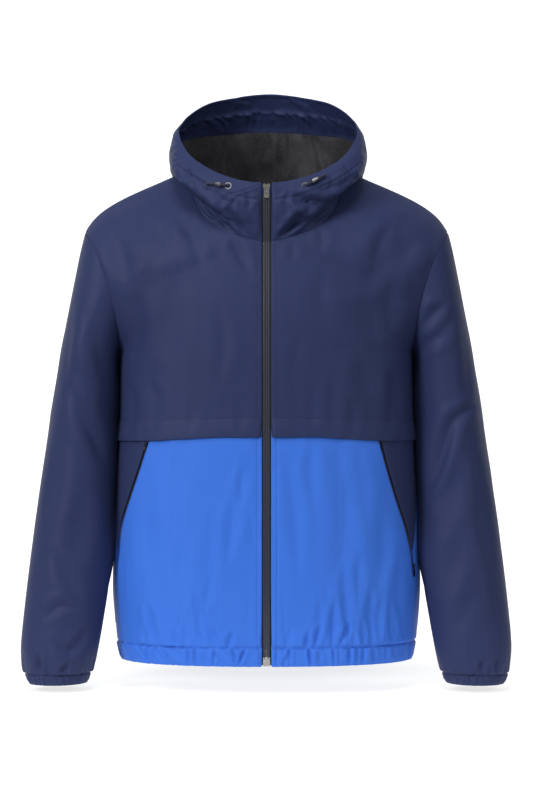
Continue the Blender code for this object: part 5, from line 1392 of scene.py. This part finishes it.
def settled(points):
    """The face edge sinks and draws in a little at the corners of its top."""
    sunk = points.copy()
    share = ease((points[..., 2] - 0.045) / 0.025) \
        * bell(np.abs(points[..., 0]) - 0.105, 0.040)
    sunk[..., 0] *= 1 - 0.034 * share
    sunk[..., 2] -= 1.2 * MM * share
    return sunk


def hollow_room(knots):
    """How much further in the lining hangs between the neck and the tunnel."""
    knots = np.asarray(knots, float)
    return 4.5 * MM * ease((knots - 0.7) / 0.9) * ease((5.0 - knots) / 1.2)


def above_lining(lift, room):
    """Troughs flatten out before they would reach the lining."""
    lowest, soft = -1.5 * MM - room, 0.35 * MM
    return lowest + soft * np.logaddexp(0, (lift - lowest) / soft)


rise = np.linspace(0, HOOD_KNOTS, int(1.4 * steps_for(0.26)) + 1)
HOOD_FRONT_ANGLE = float(neck_angle("front", NECK_SHARE["front"]))
panels = {
    "hood_side_left": angles_between(HOOD_FRONT_ANGLE, HOOD_SEAM_ANGLE),
    "hood_side_right": angles_between(-HOOD_SEAM_ANGLE, -HOOD_FRONT_ANGLE),
    "hood_centre": angles_between(HOOD_SEAM_ANGLE, 360 - HOOD_SEAM_ANGLE),
}
for name, angles in panels.items():
    piece = Piece(name, "navy_shell")
    form = hood_grid(angles, rise)
    piece.cut(form)
    normals = normals_of(form)
    neck = run_from(form, "low")
    edges = []
    if name != "hood_side_left":
        edges.append(run_from(form, "first"))
    if name != "hood_side_right":
        edges.append(run_from(form, "last"))
    seams = np.minimum.reduce(edges)
    held = np.minimum(seams, neck)
    lift = creases(form, normals, name) * ease(held / 0.008)
    lift += uneven(form, 1.1 * MM, 0.035, 0.05, shift=21.0) * ease(held / 0.012)
    below_rim = ease((HOOD_KNOTS - 1.2 - rise) / 1.2)[:, None]
    lift += 2.2 * MM * ease(held / 0.020) * below_rim * ease(-1.5 * normals[..., 1])
    lift = above_lining(lift, hollow_room(rise)[:, None])
    lift += at_seam(held, form, seed=5) + tunnel_lift(form, 80) * ease(seams / 0.004)
    zip_name = {"hood_side_left": "first", "hood_side_right": "last"}.get(name)
    if zip_name:
        zip_edge = run_from(form, zip_name)
        lift *= ease(zip_edge / 0.006 + 0.2)
    shape = settled(form + normals * lift[..., None])
    out = normals_of(shape)
    piece.add(shape)
    piece.turn(shape, out, "high", radius=RIM_RADIUS, reach=0.004)
    if zip_name:
        piece.turn(shape, out, zip_name, reach=0.010)
        stitch("navy", shape, out, zip_name, ZIP_STITCH)
    piece.finish(held="hung")
    stitch("navy", shape, out, "high", TUNNEL)
    stitch("navy", shape, out, "low", SEAM_STITCH)

# %% [markdown]
# ### Facing and lining
#
# Inside the hood a navy facing backs the tunnel, and a brushed lining hangs from it to the
# neck. They could be the outer panels again with a thickness, but then every outer crease
# would show inside. As cloths of their own they hang in folds of their own.

# %% Facing and lining
def facing_knot(angle):
    """The knot where the facing ends, its width in from the face edge."""
    knots = np.linspace(HOOD_KNOTS, 1, 121)
    return float(np.interp(FACING_WIDTH, run_along(hood(angle, knots)), knots))


LINING_FOOT = 7 / 12
signed = angles_between(FACING_ANGLE, 360 - FACING_ANGLE)
ends = {a: facing_knot(a) for a in signed}
facing_rows = steps_for(FACING_WIDTH)
lining_rows = steps_for(0.10)
FACING_TOP = HOOD_KNOTS - 0.03
inside = {
    "hood_facing": ("navy_shell", lambda a: np.linspace(ends[a], FACING_TOP, facing_rows + 1)),
    "hood_lining": ("lining", lambda a: np.linspace(LINING_FOOT, ends[a], lining_rows + 1)),
}
for name, (slot, knots) in inside.items():
    piece = Piece(name, slot)
    form = hood_grid(signed, knots)
    piece.cut(form)
    normals = normals_of(form)
    if name == "hood_facing":
        rim, seam = run_from(form, "high"), run_from(form, "low")
        run = run_from(form, "first")
        below = ease((rim - TUNNEL) / 0.002)
        pinch = gathers(run, np.abs(rim - TUNNEL), 0.013, 5.0 * MM, 0.024, 90) * below
        pinch += gathers(run, rim, 0.021, 1.6 * MM, 0.020, 93) * (1 - below)
        lift = (2.0 * MM - pinch) * ease(rim / 0.004) * ease(seam / 0.010)
        lift -= 1.6 * MM * bell(rim - TUNNEL, 0.0030)
        folds = uneven(form, 1.6 * MM, 0.022, 0.022, shift=23.0)
        lift -= folds * ease(rim / 0.006) * ease(seam / 0.006)
    else:
        seam = run_from(form, "high")
        lift = -np.abs(uneven(form, 3.6 * MM, 0.022, 0.14, shift=25.0)) * ease(seam / 0.008)
        centre = np.abs(np.abs(np.array(signed)) - HOOD_SEAM_ANGLE)
        lift += 2.2 * MM * bell(centre, 1.3)[None, :] * ease(seam / 0.004)
        lift -= hollow_room(np.array([knots(a) for a in signed]).T)
    shape = settled(form + normals * (np.minimum(lift, 1.2 * MM) - INSIDE_DEPTH)[..., None])
    out = normals_of(shape)
    piece.add(shape)
    if name == "hood_facing":
        stitch("navy", shape, -out, "high", TUNNEL)
        stitch("navy", shape, -out, "low", 0.002)
    piece.finish(held="hung")

# %% [markdown]
# ## Front zip
#
# Each tape is a ribbed ribbon behind a front edge, with moulded teeth along its inner
# edge. The teeth of the two sides stand half a pitch apart, so that they mesh. A tooth is
# a small rounded block with a waist. Hundreds of separate objects would be slow to handle,
# so one mesh carries the tape and its whole row of teeth.

# %% Zip tapes
CLOTH = 0.0016
ZIP_DEPTH = 0.0012
TAPE_HALF = 0.0125
TAPE_THICK = 0.0009
TEETH_HALF = 0.0039
TOOTH_FACE = 4e-6                       # square metres: every face of a tooth is smaller
TOOTH_PITCH = 0.0021
SLIDER_TOP_Z = -0.0345
SLIDER_LENGTH = 0.0150
BOX_TOP_Z = -0.6815
X_AXIS = np.array((1.0, 0.0, 0.0))


def middle_point(z):
    """The front middle line from the hem to the face edge, and its outward direction."""
    def at(height):
        middle = MIDDLES["front"]
        if height < ARMPIT_Z:
            y = torso_section("front", height)[1]
        elif height < middle[-1][0]:
            y = smooth([r[0] for r in middle], [[r[1]] for r in middle], height)[0, 0]
        else:
            profile = np.array(HOOD[0][1])
            y = -float(np.interp(height, profile[:, 1], profile[:, 0]))
        return np.array((0.0, y, height))
    up = unit(at(z + 0.004) - at(z - 0.004))
    return at(z), np.cross(up, -X_AXIS)


def ribbon(path, sides, outs, profile):
    """A closed outline of (sideways, outward) points carried along a path, as a grid."""
    rings = [[p + s * a + o * b for a, b in (*profile, profile[0])]
             for p, s, o in zip(path, sides, outs)]
    return np.array(rings)


def grid_mesh(name, grids, extra=None):
    """One mesh of several grids, with more points and faces if given."""
    points, faces, count = [], [], 0
    for grid in grids:
        faces += quads_of(grid, count).tolist()
        points.append(grid.reshape(-1, 3))
        count += len(points[-1])
    if extra:
        more, polygons = extra
        points.append(more)
        faces += [tuple(count + i for i in polygon) for polygon in polygons]
    mesh = bpy.data.meshes.new(name)
    mesh.from_pydata(np.concatenate(points).tolist(), [], faces)
    weld(mesh, 0.002 * MM, outward=True)
    return mesh


TOOTH = (
    # a slice's place across the zip, its half height and half thickness, in mm
    (0.9, 0.30, 0.30), (0.7, 0.62, 0.62), (-0.1, 0.62, 0.70), (-0.7, 0.40, 0.70),
    (-1.4, 0.46, 0.75), (-3.4, 0.50, 0.80), (-3.8, 0.30, 0.50),
)


def teeth(path, outs, side):
    """The points and faces of a row of teeth that reaches just past the middle."""
    slices = []
    for across, half, thick in TOOTH:
        ring = [(-half, -thick), (half, -thick), (half, thick), (-half, thick)]
        slices.append([(-across * side, u, v) for u, v in ring])
    block = np.array(slices).reshape(-1, 3) * MM
    one = []
    for n in range(len(TOOTH) - 1):
        for k in range(4):
            m = (k + 1) % 4
            one.append((4 * n + k, 4 * n + m, 4 * n + 4 + m, 4 * n + 4 + k))
    one += [(3, 2, 1, 0), tuple(range(len(block) - 4, len(block)))]
    points, faces = [], []
    for n, (centre, out) in enumerate(zip(path, outs)):
        up = np.cross(X_AXIS, -out)
        axes = np.stack([X_AXIS, up, out])
        points.append(centre + block @ axes)
        faces += [tuple(len(block) * n + i for i in face) for face in one]
    return np.concatenate(points), faces


TEETH_DEPTH = -0.0009
for side, word in SIDES.items():
    low, high = BOX_TOP_Z + 0.0006, SLIDER_TOP_Z - SLIDER_LENGTH - 0.0003
    stations = np.linspace(low, high, 170)
    path, outs = zip(*[middle_point(z) for z in stations])
    under = -CLOTH - ZIP_DEPTH
    outline = ((side * 0.0010, under), (side * TAPE_HALF, under),
               (side * TAPE_HALF, under - TAPE_THICK), (side * 0.0010, under - TAPE_THICK))
    tape = ribbon(path, [X_AXIS] * len(path), outs, outline)
    foot_path, foot_outs = zip(*[middle_point(z) for z in np.linspace(HEM_Z + 0.001, low, 4)])
    foot = ribbon(foot_path, [X_AXIS] * 4, foot_outs,
                  [(side * max(abs(a), 0.0046), b) for a, b in outline])
    cord = ribbon(path, [X_AXIS] * len(path), outs,
                  [(side * (0.0033 + 0.0009 * cos(t)), -0.0014 + 0.0012 * sin(t))
                   for t in np.linspace(0, 2 * pi, 9)[:-1]])
    count = int((high - low - 0.003) / TOOTH_PITCH)
    offset = 0.5 * TOOTH_PITCH if side > 0 else 0.0
    places = low + 0.0015 + offset + TOOTH_PITCH * np.arange(count)
    centres, tooth_outs = zip(*[middle_point(z) for z in places])
    centres = [c + o * TEETH_DEPTH for c, o in zip(centres, tooth_outs)]
    mesh = grid_mesh(f"zip_{word}", [tape, foot, cord], teeth(centres, tooth_outs, side))
    mesh.materials.append(TAPE)
    mesh.materials.append(TEETH)
    for polygon in mesh.polygons:
        is_tooth = abs(polygon.center.x) < TEETH_HALF and polygon.area < TOOTH_FACE
        polygon.material_index = 1 if is_tooth else 0
    made = link(f"zip_{word}", mesh)
    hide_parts(f"zip_tape_{word}")
    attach(made, "garment")
    print(made.name, "teeth:", count)

# %% [markdown]
# ## Pocket zips
#
# Coil zips, closed behind the pocket slits. The coil is a thin spiral of plastic wire that
# shows as a fine rib between the two lips. A ribbed strip would pass from far away, but a
# real spiral catches the light in the right places and costs little.

# %% Pocket zips
POCKET_TAPE_HALF = 0.0060
POCKET_DEPTH = 0.0012
COIL_RADIUS = 0.00125
WIRE_RADIUS = 0.00032
COIL_PITCH = 0.0016


def pocket_frame(side, z):
    """A point of the pocket slit with its outward and sideways directions."""
    def at(height, offset=0.0):
        return torso("front", side, height - ARMPIT_Z, [pocket_across(side, height, offset)])[0]
    here = at(z)
    along = unit(at(min(z + 0.004, LOWER_TOP_Z)) - at(max(z - 0.004, SLIT_END_Z)))
    sideways = unit(at(z, 0.002) - at(z, -0.002)) * side
    sideways = unit(sideways - along * (sideways @ along))
    return here, np.cross(sideways, along), sideways


def tube_grid(path, outs, sides, radius, corners):
    """A tube along a path, as a grid."""
    turns = np.linspace(0, 2 * pi, corners + 1)
    return np.array([[p + radius * (np.cos(t) * s + np.sin(t) * o) for t in turns]
                     for p, o, s in zip(path, outs, sides)])


for side, word in SIDES.items():
    stations = np.linspace(SLIT_END_Z + 0.002, LOWER_TOP_Z, 90)
    frames = [pocket_frame(side, z) for z in stations]
    path, outs, sideways = (np.array(part) for part in zip(*frames))
    under = -CLOTH - POCKET_DEPTH
    outline = ((-POCKET_TAPE_HALF, under), (POCKET_TAPE_HALF, under),
               (POCKET_TAPE_HALF, under - TAPE_THICK), (-POCKET_TAPE_HALF, under - TAPE_THICK))
    tape = ribbon(path, sideways, outs, outline)
    length = float(np.linalg.norm(np.diff(path, axis=0), axis=1).sum())
    turns_count = int(length / COIL_PITCH)
    fine = np.linspace(0, len(path) - 1, turns_count * 8 + 1)
    base = [read_at(fine, range(len(path)), part) for part in (path, outs, sideways)]
    turn = np.linspace(0, 2 * pi * turns_count, len(fine))[:, None]
    spiral = base[0] + base[1] * (under + 0.0004) \
        + COIL_RADIUS * (np.cos(turn) * base[2] + 0.45 * np.sin(turn) * base[1])
    coil = tube_grid(spiral, base[1], base[2], WIRE_RADIUS, 4)
    mesh = grid_mesh(f"pocket_zip_{word}_coil", [tape, coil])
    mesh.materials.append(TAPE)
    made = link(f"pocket_zip_{word}_coil", mesh)
    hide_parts(f"pocket_zip_{word}")
    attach(made, "garment")
    print(made.name, "turns:", turns_count)

# %% [markdown]
# ## Drawcord
#
# Each end of the hood's cord comes out of an eyelet, passes through its lock and ends in a
# knot. The braid is real relief: two sets of strands wind round in opposite directions. A
# plain tube with a bump would do from afar, but the cord's outline would stay smooth.

# %% Drawcord
EYELET_ANGLE = 29
EYELET_KNOT = 5.85
CORD_DIAMETER = 0.0032
CORD_GAP = 0.0004
HOOD_RADIUS = 0.112
KNOT_RUN = 0.0125
CORD_RISE = (
    # distance from the eyelet, height above the hood
    (0.0000, 0.0020), (0.0009, 0.0030), (0.0024, 0.0038), (0.0048, 0.0048), (0.0080, 0.0048),
)
CORD = (
    # side, eyelet to lock, lock length, tail beyond the lock, slope
    (1, 0.0080, 0.0110, 0.0120, 0.12),
    (-1, 0.0080, 0.0090, 0.0136, -0.30),
)
TAIL_DROOP = 0.0012
STRANDS = 8
CORD_LAY = 0.0060                       # length of one turn of a strand


def hood_point(angle, knot):
    """A point of the hood and its outward direction."""
    here = hood(angle, knot)[0]
    up = unit(hood(angle, knot + 0.1)[0] - hood(angle, knot - 0.1)[0])
    around = unit(hood(angle + 1, knot)[0] - hood(angle - 1, knot)[0]) * (1 if angle > 0 else -1)
    return here, unit(np.cross(around, up)) * (1 if angle > 0 else -1)


def cord_route(side, lead, lock_length, tail, slope):
    """The route's points, from the eyelet through the lock to the tail's end."""
    def on_hood(distance):
        turn = side * EYELET_ANGLE + side * np.degrees(distance / HOOD_RADIUS)
        return hood_point(turn, EYELET_KNOT + slope * distance / KNOT_RUN)

    route = []
    for distance, height in smooth(range(len(CORD_RISE)), CORD_RISE, np.linspace(0, 4, 9)):
        point, out = on_hood(distance * lead / CORD_RISE[-1][0])
        route.append(point + out * height)
    start, lock_out = on_hood(lead)
    end, _ = on_hood(lead + lock_length)
    run = unit(end - start)
    lift = unit(lock_out - run * (lock_out @ run))
    base = route[-1]
    route += [base + run * (CORD_GAP + lock_length * n) for n in (0.25, 0.5, 0.75, 1.0)]
    tail_start = base + run * (2 * CORD_GAP + lock_length)
    route += [tail_start + run * tail * n - lift * TAIL_DROOP * n ** 2
              for n in np.linspace(0, 1, 7)]
    return np.array(route), lift


def braided(route, up, diameter):
    """A braided tube along a route: strands that pass over and under each other."""
    run = run_along(route)
    length = float(run[-1])
    places = np.linspace(0, length, int(length / 0.00022) + 1)
    path = smooth(run, route, places)
    ahead = unit(np.gradient(path, axis=0))
    side_way = unit(np.cross(ahead, up))
    out = np.cross(side_way, ahead)
    turns = np.linspace(0, 2 * pi, 33)
    wind = 2 * pi * places[:, None] / CORD_LAY
    one = np.abs(np.sin(STRANDS / 4 * (turns[None, :] + wind)))
    other = np.abs(np.sin(STRANDS / 4 * (turns[None, :] - wind)))
    radius = diameter / 2 * (0.86 + 0.14 * np.maximum(one, other))
    bulge = bell(places - length + 0.0026, 0.0020)
    radius = radius * (1 + 0.35 * bulge[:, None])
    radius[-1] *= 0.2
    radius[-2] *= 0.7
    radius[0] *= 0.3
    ring = radius[..., None] * (np.cos(turns)[None, :, None] * side_way[:, None]
                                + np.sin(turns)[None, :, None] * out[:, None])
    return path[:, None] + ring, length


for row in CORD:
    side, word = row[0], SIDES[row[0]]
    route, up = cord_route(*row)
    grid, length = braided(route, up, CORD_DIAMETER)
    mesh = grid_mesh(f"drawcord_{word}", [grid])
    mesh.materials.append(BRAID)
    mesh.shade_smooth()
    made = link(f"drawcord_{word}", mesh)
    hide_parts(f"cord_{word}", f"cord_tail_{word}")
    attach(made, "garment")
    print(made.name, "length:", round(length, 4), "m")

# %% [markdown]
# ## Metal parts
#
# The sliders, pull tabs, box, eyelets and cord locks keep their solids, which already have
# the right shape. Cast metal has no sharp edge, so a narrow bevel is added to each, which
# also catches the light.

# %% Metal parts
METAL = {"zip_slider": NICKEL, "zip_pull": NICKEL, "zip_box": NICKEL,
         "eyelet_left": NICKEL, "eyelet_right": NICKEL,
         "cord_lock_left": GUNMETAL, "cord_lock_right": GUNMETAL,
         "pocket_slider_left": GUNMETAL, "pocket_slider_right": GUNMETAL,
         "pocket_pull_left": GUNMETAL, "pocket_pull_right": GUNMETAL}
for name, material in METAL.items():
    part = NODES[name]
    part.data.materials.clear()
    part.data.materials.append(material)
    bevel = part.modifiers.new("edges", "BEVEL")
    bevel.width = 0.25 * MM
    bevel.segments = 2
    bevel.limit_method = "ANGLE"
print("metal parts:", len(METAL))

# %% [markdown]
# ## Stitching
#
# Every topstitched line that was marked above becomes a row of separate stitches, each a
# small spindle half sunk in the cloth. A dashed line in the finish would be lighter, but it
# would stay flat at a grazing light.

# %% Stitches
STITCH_LENGTH = 0.0023
STITCH_PITCH = 0.0031
STITCH_WIDTH = 0.00030
STITCH_LIFT = 0.00012


def spindle():
    """One stitch along x: its points and faces, with unit length and width."""
    points, faces = [(-0.5, 0, 0)], []
    for x, size in ((-0.36, 0.8), (0, 1.0), (0.36, 0.8)):
        points += [(x, size * cos(t), size * sin(t)) for t in (0, pi / 2, pi, 3 * pi / 2)]
    points.append((0.5, 0, 0))
    for k in range(4):
        m = (k + 1) % 4
        faces.append((0, 1 + k, 1 + m))
        for ring in (1, 5):
            faces.append((ring + k, ring + 4 + k, ring + 4 + m, ring + m))
        faces.append((13, 9 + m, 9 + k))
    return np.array(points, float), faces


SPINDLE, SPINDLE_FACES = spindle()
for colour, lines in THREAD_LINES.items():
    points, faces = [], []
    for line, lifts in lines:
        run = run_along(line)
        if run[-1] < 2 * STITCH_PITCH:
            continue
        places = np.arange(STITCH_PITCH, run[-1] - STITCH_PITCH / 2, STITCH_PITCH)
        here, lift = read_at(places, run, line), unit(read_at(places, run, lifts))
        ahead = unit(read_at(places + STITCH_LENGTH / 2, run, line)
                     - read_at(places - STITCH_LENGTH / 2, run, line))
        across = unit(np.cross(ahead, lift))
        for c, a, s, l in zip(here, ahead, across, lift):
            block = SPINDLE * (STITCH_LENGTH, STITCH_WIDTH, STITCH_WIDTH)
            faces += [tuple(len(SPINDLE) * len(points) + i for i in face) for face in SPINDLE_FACES]
            points.append(c + l * STITCH_LIFT + block @ np.stack([a, s, l]))
    mesh = bpy.data.meshes.new(f"stitching_{colour}")
    mesh.from_pydata(np.concatenate(points).tolist(), [], faces)
    mesh.materials.append(THREAD[colour])
    mesh.shade_smooth()
    made = link(f"stitching_{colour}", mesh)
    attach(made, "garment")
    print(made.name, "stitches:", len(points))

# %% [markdown]
# ## Studio
#
# The jacket stands over a small sheet of pale paper, with a second sheet as a wall a long
# way behind. One curved sheet would be the usual choice, but apart from each other the two
# can glow by different amounts. One large soft light from the front left models the folds,
# a weaker one fills from the right, and one above picks out the hood and shoulders.

# %% Floor and wall
FLOOR_Z = -0.7325
FLOOR_HALF, FLOOR_FRONT, FLOOR_BACK = 0.80, -0.40, 0.60
WALL_HALF, WALL_Y = 10.0, 7.0           # beyond a camera that looks at the back


def paper(name, shade, glow):
    """Matt white paper that glows a little, so shadows on it stay light."""
    return finish(name, mottled((shade,) * 3, (shade + 0.03,) * 3, 3), patchy(3, 0.1, 0.9),
                  constants={"Emission Color": (1, 1, 1, 1), "Emission Strength": glow,
                             "Specular IOR Level": 0.0})


# Painted shadows on the floor paper: ovals under the body and the two cuffs where its glow is
# dimmed.
PAINTED_SHADOWS = (
    # x      y       half x  half y  depth
    (0.000, 0.200, 0.280, 0.160, 0.20),
    (0.290, -0.030, 0.062, 0.050, 0.16),
    (-0.290, -0.030, 0.062, 0.050, 0.16),
)


def paint_floor_shadows(material):
    """Painted shadow: the floor paper's glow is dimmed in ovals under the body and the cuffs."""
    tree = material.node_tree
    glow = 1.0
    for x, y, half_x, half_y, depth in PAINTED_SHADOWS:
        place = node(tree, "ShaderNodeVectorMath", {"operation": "MULTIPLY_ADD"},
                     {0: place_of(tree), 1: (1 / half_x, 1 / half_y, 0),
                      2: (-x / half_x, -y / half_y, 0)})
        away = node(tree, "ShaderNodeVectorMath", {"operation": "LENGTH"}, {0: place},
                    output="Value")
        share = node(tree, "ShaderNodeMapRange", {"interpolation_type": "SMOOTHSTEP"},
                     {"Value": away, "From Min": 0.30, "From Max": 1.15})
        glow = (1 - (1 - share) * depth) * glow
    # The painted shadow darkens the floor paper's emission colour.
    tree.links.new(between(tree, (0, 0, 0), (1, 1, 1), glow).socket,
                   tree.nodes["Principled BSDF"].inputs["Emission Color"])


SHEETS = {
    "floor": (paper("floor_paper", 0.30, 0.86),
              [(-FLOOR_HALF, FLOOR_FRONT, FLOOR_Z), (FLOOR_HALF, FLOOR_FRONT, FLOOR_Z),
               (FLOOR_HALF, FLOOR_BACK, FLOOR_Z), (-FLOOR_HALF, FLOOR_BACK, FLOOR_Z)]),
    "wall": (paper("wall_paper", 0.50, 1.05),
             [(-WALL_HALF, WALL_Y, -WALL_HALF), (WALL_HALF, WALL_Y, -WALL_HALF),
              (WALL_HALF, WALL_Y, WALL_HALF), (-WALL_HALF, WALL_Y, WALL_HALF)]),
}
for name, (material, corners) in SHEETS.items():
    mesh = bpy.data.meshes.new(name)
    mesh.from_pydata(corners, [], [(0, 1, 2, 3)])
    mesh.materials.append(material)
    made = link(name, mesh)
paint_floor_shadows(SHEETS["floor"][0])
print("sheets:", ", ".join(SHEETS))

# %% Lights
LOOK_AT = Vector((0, 0, -0.35))


def softbox(name, place, size, watts):
    data = bpy.data.lights.new(name, "AREA")
    data.shape = "RECTANGLE"
    data.size, data.size_y = size
    data.energy = watts
    light = link(name, data)
    light.location = place
    light.rotation_euler = (LOOK_AT - Vector(place)).to_track_quat("-Z", "Y").to_euler()
    print("light:", name, watts, "W")


softbox("key", (-2.3, -2.3, 1.3), (1.0, 1.3), 84)
softbox("fill", (2.2, -2.6, 0.5), (1.4, 2.0), 18)
softbox("top", (-0.1, -1.5, 2.4), (1.2, 0.8), 34)
world = bpy.data.worlds.new("studio")
world.use_nodes = True
background = world.node_tree.nodes["Background"]
background.inputs["Color"].default_value = (1, 1, 1, 1)
background.inputs["Strength"].default_value = 0.30
bpy.context.scene.world = world
bpy.context.scene.view_settings.view_transform = "Standard"
